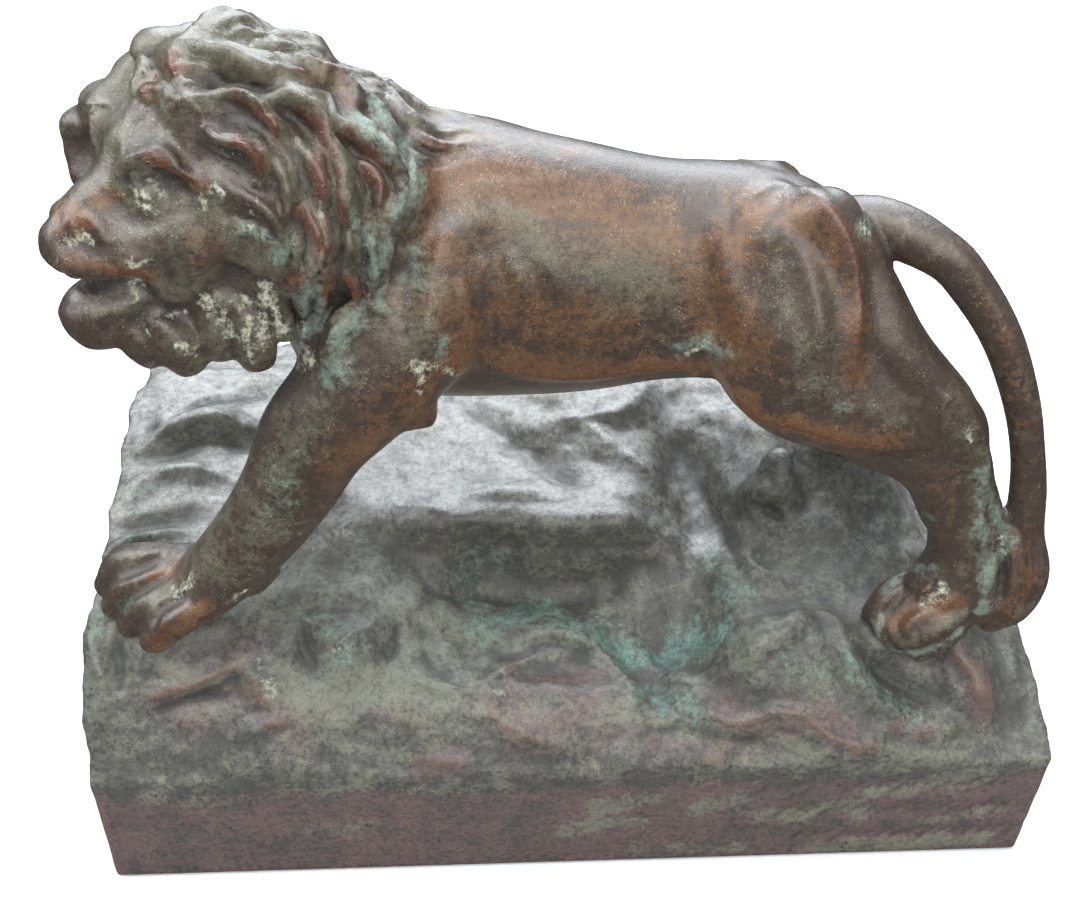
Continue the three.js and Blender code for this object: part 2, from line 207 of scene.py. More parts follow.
def roll(stations, across=(0, 1, 0), sides=20, ends=1.0, edge=1.0):
    """A closed roll. Each station is [x, y, z, half width, half height] in mm. `across` is the
    direction of the width, `ends` says how far the round ends stand out, and `edge` below 1
    squares the section."""
    rows = np.array(stations, float) * MM
    length = np.linalg.norm(np.diff(rows[:, :3], axis=0), axis=1).sum()
    piece, ball_points = new_sphere(sides, int(max(FEWEST_RINGS, length / RING_SPACING)))
    s = np.arccos(np.clip(ball_points[:, 2], -1, 1)) / np.pi
    along = np.clip((s - CAP_SHARE) / (1 - 2 * CAP_SHARE), 0, 1)
    rim = np.clip(np.minimum(s, 1 - s) / CAP_SHARE, 0, 1) * np.pi / 2
    turn = np.arctan2(ball_points[:, 1], ball_points[:, 0])
    centre = spline(rows[:, :3], along)
    size = spline(rows[:, 3:5], along)
    ahead_of = spline(rows[:, :3], np.minimum(along + PATH_STEP, 1))
    forward = unit(ahead_of - spline(rows[:, :3], np.maximum(along - PATH_STEP, 0)))
    wide = np.broadcast_to(np.asarray(across, float), forward.shape)
    wide = unit(wide - forward * (wide * forward).sum(1, keepdims=True))
    high = np.cross(forward, wide)
    cos, sin = np.cos(turn), np.sin(turn)
    cos = np.sign(cos) * np.abs(cos) ** edge
    sin = np.sign(sin) * np.abs(sin) ** edge
    round_part = np.sin(rim)[:, None]
    tip = np.sign(s - 0.5) * np.cos(rim) * ends * size.min(1)
    section = wide * (cos * size[:, 0])[:, None] + high * (sin * size[:, 1])[:, None]
    return put(piece, centre + round_part * section + forward * tip[:, None])


def ball(centre, sizes, axes=np.eye(3)):
    """A sphere pressed to three half sizes along three axes, in mm."""
    piece, ball_points = new_sphere(BALL_SIDES, BALL_SIDES // 2)
    return put(piece, (np.array(centre) + (ball_points * sizes) @ np.array(axes)) * MM)


def select_only(pieces):
    bpy.ops.object.select_all(action="DESELECT")
    for piece in pieces:
        piece.select_set(True)
    bpy.context.view_layer.objects.active = pieces[0]


def apply(piece, kind, **settings):
    """Adds a modifier, sets it and applies it."""
    select_only([piece])
    modifier = piece.modifiers.new(kind.lower(), kind)
    for name, value in settings.items():
        setattr(modifier, name, value)
    bpy.ops.object.modifier_apply(modifier=modifier.name)
    return piece


def fuse(name, pieces, voxel, smoothing):
    """Joins closed pieces into one skin of even squares, and softens its creases."""
    select_only(pieces)
    bpy.ops.object.join()
    whole = bpy.context.object
    whole.name = whole.data.name = name
    apply(whole, "REMESH", mode="VOXEL", voxel_size=voxel * MM)
    apply(whole, "SMOOTH", factor=0.5, iterations=smoothing)
    print(name, len(whole.data.polygons), "faces")
    return whole


# %% [markdown]
# ## Body and legs
# The stations are the frame's own: a deep chest, a drawn-in waist, the near legs and tail to the
# front and the far legs behind. Big rounded rolls make the haunches and shoulders. All of it is
# fused coarsely and smoothed well, as a thumb draws clay over the joints.

# %% Body and legs
NEAR_Y, FAR_Y = -46, 2
TORSO = [
    [-58, -24, 172, 18, 28], [-46, -23, 172, 22, 33], [-34, -22, 170, 23, 35],
    [-16, -22, 168, 22, 33], [0, -22, 167, 20.5, 31], [16, -22, 167, 19, 28], [32, -22, 167, 20, 27],
    [47, -22, 165, 20, 25], [58, -22, 164, 14, 20],
]
NEAR_FORELEG = [
    [-33, -36, 182, 9, 15], [-43, -41, 166, 12, 18], [-54, -45, 151, 12, 15],
    [-65, NEAR_Y, 138, 10.5, 13.5], [-72, NEAR_Y, 124, 9.5, 12], [-80, NEAR_Y, 111, 9, 11],
    [-89, -45, 99, 9.5, 10], [-97, -45, 90, 11, 8.5],
]
FAR_FORELEG = [
    [-36, -8, 182, 9, 15], [-44, -3, 166, 12, 17], [-50, 1, 151, 12, 14], [-57, FAR_Y, 138, 10.5, 12],
    [-64, FAR_Y, 124, 9.5, 11], [-70, FAR_Y, 112, 9, 10], [-75, FAR_Y, 101, 9.5, 9.5],
    [-79, FAR_Y, 93, 11, 8.5],
]
NEAR_HINDLEG = [
    [45, -33, 174, 13, 19], [46, -37, 162, 14, 21], [50, -40, 150, 12, 18], [63, -42, 141.5, 10.5, 13],
    [76, -42, 139.5, 8.5, 11.5], [87, -42, 134.5, 7.5, 10], [92, -42, 120, 7, 7.5], [95, -43, 106, 7, 7],
    [97, -44, 94, 8, 7.5], [94, -45, 85, 10, 8],
]
NEAR_HAMSTRING = [
    [48, -34, 186, 8, 10], [59, -37, 168, 9, 11], [69, -40, 155, 9, 10], [84, -42, 142, 7, 8],
]
FAR_HINDLEG = [
    [38, -11, 176, 13, 19], [37, -7, 163, 14, 20], [41, -4, 152, 12, 16], [54, 0, 146, 10.5, 11],
    [68, 3, 142, 8.5, 8.5], [76, 5, 137, 7.5, 8], [81, 6, 128, 6.5, 7], [83, 6, 119, 8, 8],
    [85, 6, 112, 9, 8],
]
# Each elbow is a squared flap that stands back from the foreleg
ELBOWS = [
    [[-56, -45.5, 150, 8, 12], [-47, -46.5, 150.5, 6, 10.5], [-38, -47, 151, 4, 9.5]],
    [[-50, 2, 150, 8, 11], [-41, 2, 150, 6, 9.5], [-33, 2, 150.5, 4, 8.5]],
]
TAIL = [
    [48, -22, 175, 8, 8], [62, -28, 182.5, 6.8, 6.8], [77, -35, 179, 5.6, 5.6], [86, -37, 171, 5.2, 5.2],
    [95, -40, 159, 4.8, 4.8], [103, -42, 143, 4.4, 4.4], [108, -43, 129, 4.2, 4.2],
    [111, -44, 117, 4.6, 4.6], [113, -45, 104, 5.4, 5.2], [115, -47, 92, 6.9, 7],
    [113.5, -48, 82, 6.2, 6.6], [110, -48.5, 76, 3.6, 4],
]
# One web of bronze joins tail and hock, another rounds the inner corner of the hock
TAIL_WEB = [
    [96, -43, 127, 3, 4], [99.5, -43, 118, 3, 4], [102, -44, 110, 3.5, 5], [103.5, -45, 101, 4.5, 6],
    [104, -46, 90, 6, 8], [105, -47, 82, 7, 9],
]
HOCK_WEB = [
    [66, -43, 131, 5, 6], [77, -43, 128, 6, 7], [85, -43, 121.5, 6.5, 7], [90.5, -43.5, 109, 6.5, 5.5],
]
# Haunches, shoulders and chest: centre, then half sizes
MUSCLES = [
    [[44, -33, 170], [19, 12, 22]], [[36, -11, 169], [18, 12, 21]], [[52, -8, 158], [10, 9, 16]],
    [[-32, -34, 176], [15, 10, 22]], [[-34, -10, 176], [15, 10, 22]], [[-54, -28, 161], [19, 20, 20]],
    [[-60, -42, 164], [9, 9, 10]],
]

LIMBS = (NEAR_FORELEG, FAR_FORELEG, NEAR_HINDLEG, FAR_HINDLEG, NEAR_HAMSTRING, TAIL_WEB, HOCK_WEB)
body_parts = [roll(TORSO, sides=32), *map(roll, LIMBS)]
body_parts += [ball(centre, sizes) for centre, sizes in MUSCLES]
body = fuse("body", body_parts, voxel=1.3, smoothing=14)

# %% [markdown]
# ## Paws
# Each paw is a flat pad with four toes fanned out side by side. A toe rises from the pad, bends at
# its knuckle and drops to its tip. The toes stay out of the smoothing, so the clefts are crisp.

# %% Paws
# Each toe row is given by its first and last toe; thickness is a toe's half width in mm
PAWS = [
    {"pad": [[-86, -42, 95, 9, 8.5], [-97, -43, 91.5, 11.5, 6.5], [-108, -45, 86, 11.5, 5.5]], "bow": 3,
     "roots": [[-94, -51, 91], [-99, -40, 94]], "bends": [[-104, -54, 86], [-118, -35.5, 90]],
     "tips": [[-110, -53, 79], [-124.5, -35.5, 82]], "thickness": 4.5},
    {"pad": [[-73, FAR_Y, 92, 10, 7.5], [-83, FAR_Y, 87.5, 11, 5.5]], "bow": 4,
     "roots": [[-79, -5, 89.5], [-79, 9, 89.5]], "bends": [[-86, -6.5, 87], [-87, 10, 87]],
     "tips": [[-90, -8, 83], [-92, 11, 83]], "thickness": 4.1},
    {"pad": [[98, -45, 83, 8.5, 8.5], [92, -47, 79.5, 9.5, 8], [86.5, -47.5, 74.5, 9, 6.5]], "bow": 2,
     "roots": [[101, -50, 79.5], [92, -40.5, 83.5]], "bends": [[95, -53.5, 75], [84, -42, 80]],
     "tips": [[90, -53.5, 70], [79.5, -44, 74.5]], "thickness": 4},
    {"pad": [[87, 6, 109, 9, 7], [80, 6, 105.5, 10, 5]], "bow": 3,
     "roots": [[84, 0, 108], [84, 12, 108]], "bends": [[78, -2, 105.5], [77, 13, 105.5]],
     "tips": [[75, -3, 101], [75, 14, 101]], "thickness": 3.9},
]


def paw(pad, roots, bends, tips, bow, thickness):
    """A pad and its four toes. The middle toes stand out in front of the others by the bow."""
    parts = [roll(pad)]
    outward = unit((np.mean(tips, axis=0) - np.mean(roots, axis=0))[None])[0]
    root, bend = (thickness, thickness), (thickness, thickness * 1.05)
    tip = (thickness * 0.85, thickness * 0.9)
    for t in (0, 1 / 3, 2 / 3, 1):
        reach = outward * bow * 4 * t * (1 - t)
        knots = [(1 - t) * np.array(first) + t * np.array(last) for first, last in (roots, bends, tips)]
        parts.append(roll([[*(knot + reach), *size] for knot, size in zip(knots, (root, bend, tip))]))
    return parts


paw_parts = [part for shape in PAWS for part in paw(**shape)]
print(len(paw_parts), "paw parts")

# %% [markdown]
# ## Head
# The head has its own axes, because it turns 35 degrees towards the viewer and drops a little.
# Its forms are given as [forward, left, up] from the middle of the skull.

# %% Head
HEAD_AT = np.array([-90.0, -41.0, 198.0])
HEAD_YAW, HEAD_PITCH = math.radians(35), math.radians(10)
head_forward = np.array([
    -math.cos(HEAD_YAW) * math.cos(HEAD_PITCH), -math.sin(HEAD_YAW) * math.cos(HEAD_PITCH),
    -math.sin(HEAD_PITCH),
])
head_left = unit(np.cross([0, 0, 1], head_forward))
head_up = np.cross(head_forward, head_left)
HEAD_AXES = np.array([head_forward, head_left, head_up])


def on_head(place):
    """A place on the head, in mm, as a place in the frame."""
    return HEAD_AT + np.array(place[:3]) @ HEAD_AXES


def head_roll(stations, **settings):
    return roll([[*on_head(s), *s[3:]] for s in stations], across=head_left, **settings)


def head_ball(place, sizes):
    return ball(on_head(place), sizes, HEAD_AXES)


SKULL = ([-3, 0, 1], [19, 16, 16])
MUZZLE = [[2, 0, -3, 12.5, 11.5], [13, 0, -3.5, 9.6, 9], [20, 0, -3.8, 8.6, 7.6], [23, 0, -4, 7.6, 6.8]]
NOSE_BRIDGE = [[-2, 0, 8.6, 9, 6], [7, 0, 7.4, 5.6, 4.6], [15, 0, 4.4, 4.4, 4], [22, 0, 1.6, 4.2, 3.4]]
NOSE_LEATHER = [[22.6, 0, 2.8, 5.4, 2], [26, 0, -0.6, 4.6, 3]]
LOWER_JAW = [[0, 0, -15, 9, 6], [12, 0, -17, 8.6, 6.8], [20, 0, -19.4, 8.2, 8.4], [25, 0, -20.4, 6.8, 8.2]]
FOREHEAD = ([4, 0, 10], [9, 13, 5.5])
FAR_TEMPLE = ([0, -14, 5], [11, 7, 14])
BROW = [[11, 3, 9, 2.6, 2.2], [9, 7.5, 11, 3.2, 2.4], [4.5, 11.5, 10.4, 3, 2.2], [-1, 15, 5, 2.2, 1.6]]
CHEEKBONE = ([-2, 9, -5], [15, 9.5, 13])
WHISKER_PAD = ([17, 4.8, -5.8], [8, 5.6, 6])
MUZZLE_SIDE = ([9, 6.5, -6], [12, 7, 8])
CHEEK_BACK = ([-9, 13, -3], [13, 10, 15])


def other_hand(stations, hand):
    """The same stations on the head's left, for 1, or right, for -1."""
    return [[s[0], s[1] * hand, *s[2:]] for s in stations]


head_parts = [
    head_ball(*SKULL), head_ball(*FOREHEAD), head_ball(*FAR_TEMPLE), head_roll(MUZZLE, edge=0.85),
    head_roll(NOSE_BRIDGE, edge=0.8), head_roll(NOSE_LEATHER), head_roll(LOWER_JAW),
]
for hand in (-1, 1):
    head_parts += [
        head_roll(other_hand(BROW, hand)),
        *(head_ball(other_hand([place], hand)[0], sizes)
          for place, sizes in (CHEEKBONE, WHISKER_PAD, MUZZLE_SIDE, CHEEK_BACK)),
    ]
print(len(head_parts), "head parts")

# %% [markdown]
# ## Mane, first mass
# Under the hair lies a smooth mass from the cheeks to the shoulders. The locks are laid on it
# afterwards, so it stands a little inside the finished outline.

# %% Mane, first mass
MANE_RINGS = [
    [-91, -42, 195, 16, 19], [-84, -37, 195.5, 23, 26], [-74, -31, 193.5, 26, 28.5],
    [-61, -27, 188.5, 25, 26], [-46, -23.5, 182, 23, 24], [-31, -22, 177, 19, 22],
]
THROAT = [[6, 0, -14, 14, 12], [-4, 0, -27, 18, 13], [-16, 0, -26, 20, 15]]
CROWN = [[-90, -30, 210, 7, 5], [-81, -27, 217, 9, 6], [-74, -26, 217, 9, 6], [-62, -24, 210, 11, 7]]
# Tufts beside the far cheek, the last one the far ear's tip: forward, left, up, radius in mm
FAR_TUFTS = [
    [10, -19, 4.5, 4.6], [4, -19.5, -10, 5.4],
    [2, -17.5, 12.5, 5], [-4, -15, 16.5, 4.4], [8.5, -20, 8.5, 5], [10.5, -17, 1, 5], [5, -20, -6, 6],
    [0, -20, -14, 6], [-9, -12, 22, 2.6],
]
TUFT_BACK = np.array([-11, -1, -2])
tufts = []
for *place, radius in FAR_TUFTS:
    back = np.array(place) + TUFT_BACK
    tufts.append(head_roll([[*place, radius, radius], [*back, radius, radius * 1.2]]))
mane_mass = [roll(MANE_RINGS, sides=40, ends=0.5), roll(CROWN), head_roll(THROAT)]
core = fuse("core", [body, *head_parts, *tufts, *mane_mass], voxel=1.0, smoothing=4)

# %% [markdown]
# ## Thumb and knife
# Fine forms are pressed into the clay along strokes. A stroke follows a few places in the
# photograph: a line of sight finds each of them on the clay. A ridge has a steep side and a long
# side, and `lean` says how unlike they are. A press is a round push or pull at one place. The far
# side, which the photograph hides, gets the same strokes mirrored and dropped onto its surface.

# %% Thumb and knife
STROKE_STEP = 0.7 * MM
# How many times its reach a stroke is looked for, and how alike a vertex must face to be worked
WIDEST, LIKE_FACING = 2.2, 0.1
# How far from the camera, in metres, a line of sight that misses is first taken to end
FIRST_DEPTH = 0.28


def spots(text):
    """Places in the photograph from a text like "138,118 147,98": pixels across and down."""
    return [tuple(int(number) for number in spot.split(",")) for spot in text.split()]


def surface(piece):
    """A search tree of a mesh's faces."""
    corners = [vertex.co for vertex in piece.data.vertices]
    return BVHTree.FromPolygons(corners, [polygon.vertices for polygon in piece.data.polygons])


def seen(tree, pixels):
    """Where lines of sight through places in the photograph meet a surface, or pass nearest to it."""
    found = []
    depth = FIRST_DEPTH
    for u, v in pixels:
        look = sightline(u, v)
        place, normal, _, gap = tree.ray_cast(EYE, look)
        if place is None:
            for _ in range(3):
                place, normal, _, _ = tree.find_nearest(EYE + look * depth)
                depth = (place - EYE).dot(look)
        else:
            depth = gap
        found.append((np.array(place), np.array(normal)))
    return found


def mirrored(tree, hits, point, sideways):
    """The same places across a plane, dropped onto the surface there."""
    found = []
    for place, _ in hits:
        across = np.dot(place - point, sideways) * sideways
        there, normal, _, _ = tree.find_nearest(Vector(place - 2 * across))
        found.append((np.array(there), np.array(normal)))
    return found


def facing(piece):
    """The normals of all vertices of a mesh, one row each."""
    flat = np.empty(len(piece.data.vertices) * 3)
    piece.data.vertices.foreach_get("normal", flat)
    return flat.reshape(-1, 3)


def near_stroke(points, normals, hits, reach):
    """Vertices near a stroke: their numbers, distances, sides and places along it."""
    knots = np.array([place for place, _ in hits])
    length = np.linalg.norm(np.diff(knots, axis=0), axis=1).sum()
    t = np.linspace(0, 1, max(6, int(length / STROKE_STEP)))
    path = spline(knots, t)
    ups = unit(spline([normal for _, normal in hits], t))
    tangents = unit(np.gradient(path, axis=0))
    box = (points > path.min(0) - reach).all(1) & (points < path.max(0) + reach).all(1)
    index = np.flatnonzero(box)
    gaps = np.linalg.norm(points[index, None] - path[None], axis=2)
    nearest = gaps.argmin(1)
    gap = gaps[np.arange(len(index)), nearest]
    same_side = (normals[index] * ups[nearest]).sum(1) > LIKE_FACING
    keep = (gap < reach) & same_side
    index, nearest, gap = index[keep], nearest[keep], gap[keep]
    beside = np.cross(ups[nearest], tangents[nearest])
    side = np.sign(((points[index] - path[nearest]) * beside).sum(1))
    return index, gap, side, t[nearest]


def work(piece, strokes=(), presses=()):
    """Presses strokes and dabs into a mesh, all measured on the mesh as it was."""
    points, normals = places(piece), facing(piece)
    raised, cut = np.zeros(len(points)), np.zeros(len(points))
    for hits, width, height, lean, blunt in strokes:
        index, gap, side, t = near_stroke(points, normals, hits, width * WIDEST * MM)
        long_side = side > 0 if lean >= 0 else side < 0
        reach = width * MM * np.where(long_side, 1 + abs(lean), 1 - abs(lean))
        taper = np.clip(np.sin(np.pi * np.clip(t, 0.04, 0.96)), 0, 1) ** 0.5
        form = height * MM * taper * np.clip(1 - gap / reach, 0, 1) ** blunt
        if height > 0:
            raised[index] = np.maximum(raised[index], form)
        else:
            cut[index] = np.minimum(cut[index], form)
    for (place, _), radius, height in presses:
        gap = np.linalg.norm(points - place, axis=1) / (radius * MM)
        cut += height * MM * np.exp(-gap**2) * (gap < 3)
    return put(piece, points + normals * (raised + cut)[:, None])


def stroke(hits, reach, height, lean=0, blunt=1.2, hand=1):
    """One stroke for `work`: reach and height in mm, and how blunt its top is. A mirrored stroke
    has hand -1, which turns its lean round."""
    return hits, reach, height, hand * lean, blunt


def strokes_on(tree, rows, mirror=None):
    """Strokes from a table's rows. With a mirror, a point and a direction, each comes twice."""
    strokes = []
    for pixels, *form in rows:
        near = seen(tree, spots(pixels))
        strokes.append(stroke(near, *form))
        if mirror:
            strokes.append(stroke(mirrored(tree, near, *mirror), *form, hand=-1))
    return strokes


# %% [markdown]
# ## Beard
# Fat rolls hang side by side from the jaw and curl back as they fall. Each stands in an upright
# plane beside the head's middle, and its photographed line is put in that plane.

# %% Beard
# Places in the photograph, then the plane's distance from the head's middle and the half widths in mm
BEARD = [
    ("128,322 137,338 150,352", 5, (3.4, 4.6, 4.2)), ("158,318 172,336 186,356", 8.5, (4, 6, 5.2)),
    ("202,306 212,326 220,346", 11.5, (2.8, 4.6, 4.2)), ("236,304 248,326 256,352", 15, (3, 5.6, 5.2)),
    ("262,294 275,312 284,330", 18.5, (2.4, 3.8, 3.2)),
]


def on_plane(pixel, out):
    """Where a line of sight meets the plane `out` mm to the left of the head's middle."""
    look = np.array(sightline(*pixel))
    start = np.array(EYE) / MM
    return start + look * ((out - (start - HEAD_AT) @ head_left) / (look @ head_left))


beard_parts = []
for pixels, out, widths in BEARD:
    line = [on_plane(pixel, out) for pixel in spots(pixels)]
    for shift in (0, -2 * out):
        stations = [[*(p + shift * head_left), w, w * 0.9] for p, w in zip(line, widths)]
        beard_parts.append(roll(stations, across=head_left))
print(len(beard_parts), "rolls of beard")

# %% [markdown]
# ## The whole lion in one skin
# Tail, elbows, paws and beard join the core in one fine skin. They come late and are hardly
# smoothed, so their edges stay clear.

# %% The whole lion in one skin
elbows = [roll(elbow, edge=0.6, ends=0.25) for elbow in ELBOWS]
lion = fuse("lion_bronze", [core, roll(TAIL), *elbows, *paw_parts, *beard_parts], voxel=0.8, smoothing=2)

# %% [markdown]
# ## Locks of hair
# In the photograph the near side of the mane is a set of long wavy locks with sharp crests,
# nested round the face. The steep side of each crest looks towards the face.

# %% Locks of hair
MANE_MIDDLE = np.array([-61.0, -27.0, 190.0]) * MM
MANE_HEADING = math.radians(25)
mane_sideways = np.array([-math.sin(MANE_HEADING), math.cos(MANE_HEADING), 0])
mane_mirror = (MANE_MIDDLE, mane_sideways)

# Places in the photograph along each crest, then reach, height in mm and lean
CRESTS = [
    ("138,118 147,98 154,78 161,66 175,69 196,68 222,71 245,77 264,80 286,86 303,103", 7.5, 5.6, 0.5),
    ("255,99 270,101 286,101 300,109 313,121 321,137 322,154", 5.5, 4.4, 0.5),
    ("300,147 309,162 315,178 318,194 312,206", 4.5, 3.6, 0.4),
    ("322,127 328,145 334,162 337,180 337,200 341,214 349,226", 5, 4, 0.4),
    ("326,117 340,130 353,139 369,151 382,161 392,173 396,190 393,204 385,218 381,230", 6, 5.2, 0.5),
    ("355,160 368,171 377,186 376,204 379,222", 4, 3, 0.2),
    ("281,67 300,72 318,79 333,85 343,95 349,108 354,121", 5.5, 4.2, 0.5),
    ("204,100 222,97 240,101 251,109 261,118 269,125 274,134 276,142", 4.2, 5, 0.45),
    ("203,124 212,135 222,143 240,146 250,152 257,164 258,180", 4.6, 5, 0.45),
    ("176,99 188,100 198,108 203,120", 3.6, 2.4, 0.2),
    ("204,46 212,34 224,22 240,18 255,24 272,38 298,50", 6.5, 2.8, 0.3),
    ("304,206 311,225 314,242 306,262 294,280 286,287", 5, 4.2, 0.3),
    ("319,205 322,225 323,245 320,262 327,278 326,296", 4.5, 3.6, 0.3),
    ("340,262 349,280 356,294 349,307 337,320 327,336", 4.5, 3.8, 0.4),
    ("320,50 348,60 375,68 398,90 420,106 450,112", 6, 2.6, 0.3),
    ("340,82 362,92 380,96 394,110 408,124 428,134 450,134", 5, 3, 0.4),
    ("346,92 362,104 377,114 388,127 396,142", 4.2, 2.8, 0.4),
    ("352,108 366,122 380,134 392,148 402,164", 4.2, 2.4, 0.4),
    ("404,128 420,140 436,147 456,147", 4.2, 2, 0.3),
    ("262,150 276,166 284,184 286,206 282,224", 4.2, 2.6, 0.3),
    ("232,192 252,200 268,212 280,232 283,254 282,276", 4.5, 2.6, 0.3),
    ("286,230 296,244 294,262 286,274", 3.6, 2.2, 0.2), ("346,228 348,246 344,264", 4, 2.4, 0.2),
    ("366,232 372,252 372,276 368,298 378,312", 4.4, 2.6, 0.2),
    ("388,226 388,244 386,262", 3.6, 1.8, 0),
    ("158,108 170,92 192,86 226,86 262,92 290,98", 4, -1.8, 0),
    ("268,110 290,116 304,128 310,144", 3, -1.4, 0), ("336,132 350,148 362,158", 3, -1.2, 0),
    ("400,140 404,164 402,188 394,214", 5, -1.4, 0),
    ("312,264 302,282 298,298 304,314 303,332", 5, 3.8, 0.2),
    ("314,268 322,288 320,308 316,330", 4.4, 3.2, -0.2),
    ("360,308 346,322 334,338 330,354 334,372", 5, 3.8, 0.2),
    ("136,90 142,72 152,58 170,50", 4, 1.6, 0.3), ("230,46 252,52 276,56 300,58 322,66", 5, 2.6, 0.4),
    ("216,60 240,62 262,68 282,74", 4, 1.6, 0.4),
]
CREST_RISE, CREST_REACH, CREST_SHARPNESS = 1.2, 1.2, 1.9
LIP_REACH, LIP_RISE = 2.0, 1.0
# Fine strands beside each crest: how far to the side in the photograph, then height in mm
STRANDS = [(-13, 0.55), (-8.5, -0.7), (7.5, -0.6), (12, 0.5), (17, -0.5)]
STRAND_REACH = 1.3
WAVERING, WAVE_STEP = 0.22, 1.7


def combed(piece, widen, rise, sharp):
    """Strokes along every crest on both sides of the mane, as wide and high as asked."""
    rows = [(pixels, widen(reach), rise(height), lean, sharp) for pixels, reach, height, lean in CRESTS]
    return strokes_on(surface(piece), rows, mane_mirror)


def stranded(piece):
    """Strokes beside every crest, which follow it at a distance that wavers a little."""
    tree = surface(piece)
    strokes = []
    for crest, (pixels, *_) in enumerate(CRESTS):
        line = np.array(spots(pixels), dtype=float)
        along = unit(np.gradient(line, axis=0))
        beside = np.stack([-along[:, 1], along[:, 0]], axis=1)
        for shift, height in STRANDS:
            wavering = shift * (1 + WAVERING * np.sin(WAVE_STEP * np.arange(len(line)) + crest))
            near = seen(tree, (line + beside * wavering[:, None]).tolist())
            far = mirrored(tree, near, *mane_mirror)
            strokes += [stroke(near, STRAND_REACH, height), stroke(far, STRAND_REACH, height)]
    return strokes


# %% [markdown]
# ## The hair on the lion
# Three passes make the hair. The first raises the locks and is softened a little. The second
# combs fine strands beside them, and the third draws a crisp lip along each crest.

# %% The hair on the lion
locks = combed(lion, lambda reach: reach * CREST_REACH, lambda height: height * CREST_RISE, CREST_SHARPNESS)
work(lion, locks)
apply(lion, "SMOOTH", factor=0.5, iterations=2)
work(lion, stranded(lion))
work(lion, combed(lion, lambda reach: LIP_REACH, lambda height: LIP_RISE * np.sign(height), 1.2))
print("the lion has", len(lion.data.polygons), "faces and", len(CRESTS), "crests on each side")

# %% [markdown]
# ## Face
# Brow, lids, nose, lips and cheek folds, by the same strokes and presses. The head's own middle
# plane mirrors them.

# %% Face
# Places in the photograph, reach and height in mm, then lean and bluntness where they aren't usual
FACE_STROKES = [
    ("117,165 127,158 140,156 152,154 163,155 171,161 177,171 190,180 204,188", 3.8, 1.8, 0.4),
    ("124,178 140,176 158,178 172,184 188,192", 3.6, -1.9, 0, 1),
    ("128,192 136,182 147,178 158,182 166,190", 2, 1.3, 0.3, 1),
    ("130,203 140,210 151,212 162,205", 2, 1.1, -0.3, 1),
    ("118,172 106,188 92,200 80,208", 3.4, 0.8, 0.3, 1),
    ("82,211 88,220 98,234 96,246", 2.8, 1.4, 0.2, 1.1),
    ("60,212 58,226 60,242 66,258", 2.2, -0.8, 0, 1),
    ("48,259 66,268 88,274 112,273 132,270 147,274 156,286 164,298", 3.4, 1.5, 0.4, 1),
    ("58,272 84,280 110,282 134,281 150,292", 2.4, -2.2, 0, 1.1),
    ("64,322 84,320 105,312 125,303 142,295 152,302", 3.6, 0.9, -0.2, 1),
    ("238,224 254,227 266,234 275,246 279,262 281,277", 4.2, 2, -0.5, 1),
    ("217,231 200,244 194,264 183,280 168,293", 4.4, 1.2, 0.3, 1),
    ("148,232 150,250 144,264 132,270", 3.2, 0.8, 0.3, 1),
    ("216,264 236,272 256,280 280,284", 3.4, -1.4, 0, 1),
    ("140,318 160,314 182,310 202,296 222,288", 3.4, -1.6, 0, 1),
    ("212,184 226,190 240,200 250,214", 4, 0.7, 0.2, 1), ("165,215 185,212 205,206", 4, -0.6, 0, 1),
]
# Places in the photograph, then radius and push in mm
FACE_PRESSES = [
    ((146, 194), 6.2, -3.4), ((146, 196), 2.8, 3), ((106, 155), 3.6, -1.8), ((84, 135), 2.6, 1.4),
    ((158, 157), 3, 0.8), ((84, 242), 3.2, -1.6), ((228, 118), 4.6, -0.9), ((246, 124), 4, -0.7),
    ((112, 290), 4.5, -0.6), ((170, 236), 7, 0.7), ((120, 238), 5, 0.6), ((70, 226), 3, 0.5),
]

head_mirror = (HEAD_AT * MM, head_left)
lion_tree = surface(lion)
face_strokes = strokes_on(lion_tree, FACE_STROKES, head_mirror)
face_presses = []
for place, radius, height in FACE_PRESSES:
    near = seen(lion_tree, [place])
    far = mirrored(lion_tree, near, *head_mirror)
    face_presses += [(near[0], radius, height), (far[0], radius, height)]
work(lion, face_strokes, face_presses)
print(len(face_strokes), "strokes and", len(face_presses), "presses on the face")

# %% [markdown]
# ## Shoulder, ribs, haunch and paws
# Muscles and bones show as soft ridges. The hind leg has its tendon, the paws their clefts, and
# the tail tuft is divided into strands. The far side mirrors the near one across the spine.

# %% Shoulder, ribs, haunch and paws
SPINE = np.array([0.0, -22.0, 0.0]) * MM
ACROSS = np.array([0.0, 1.0, 0.0])
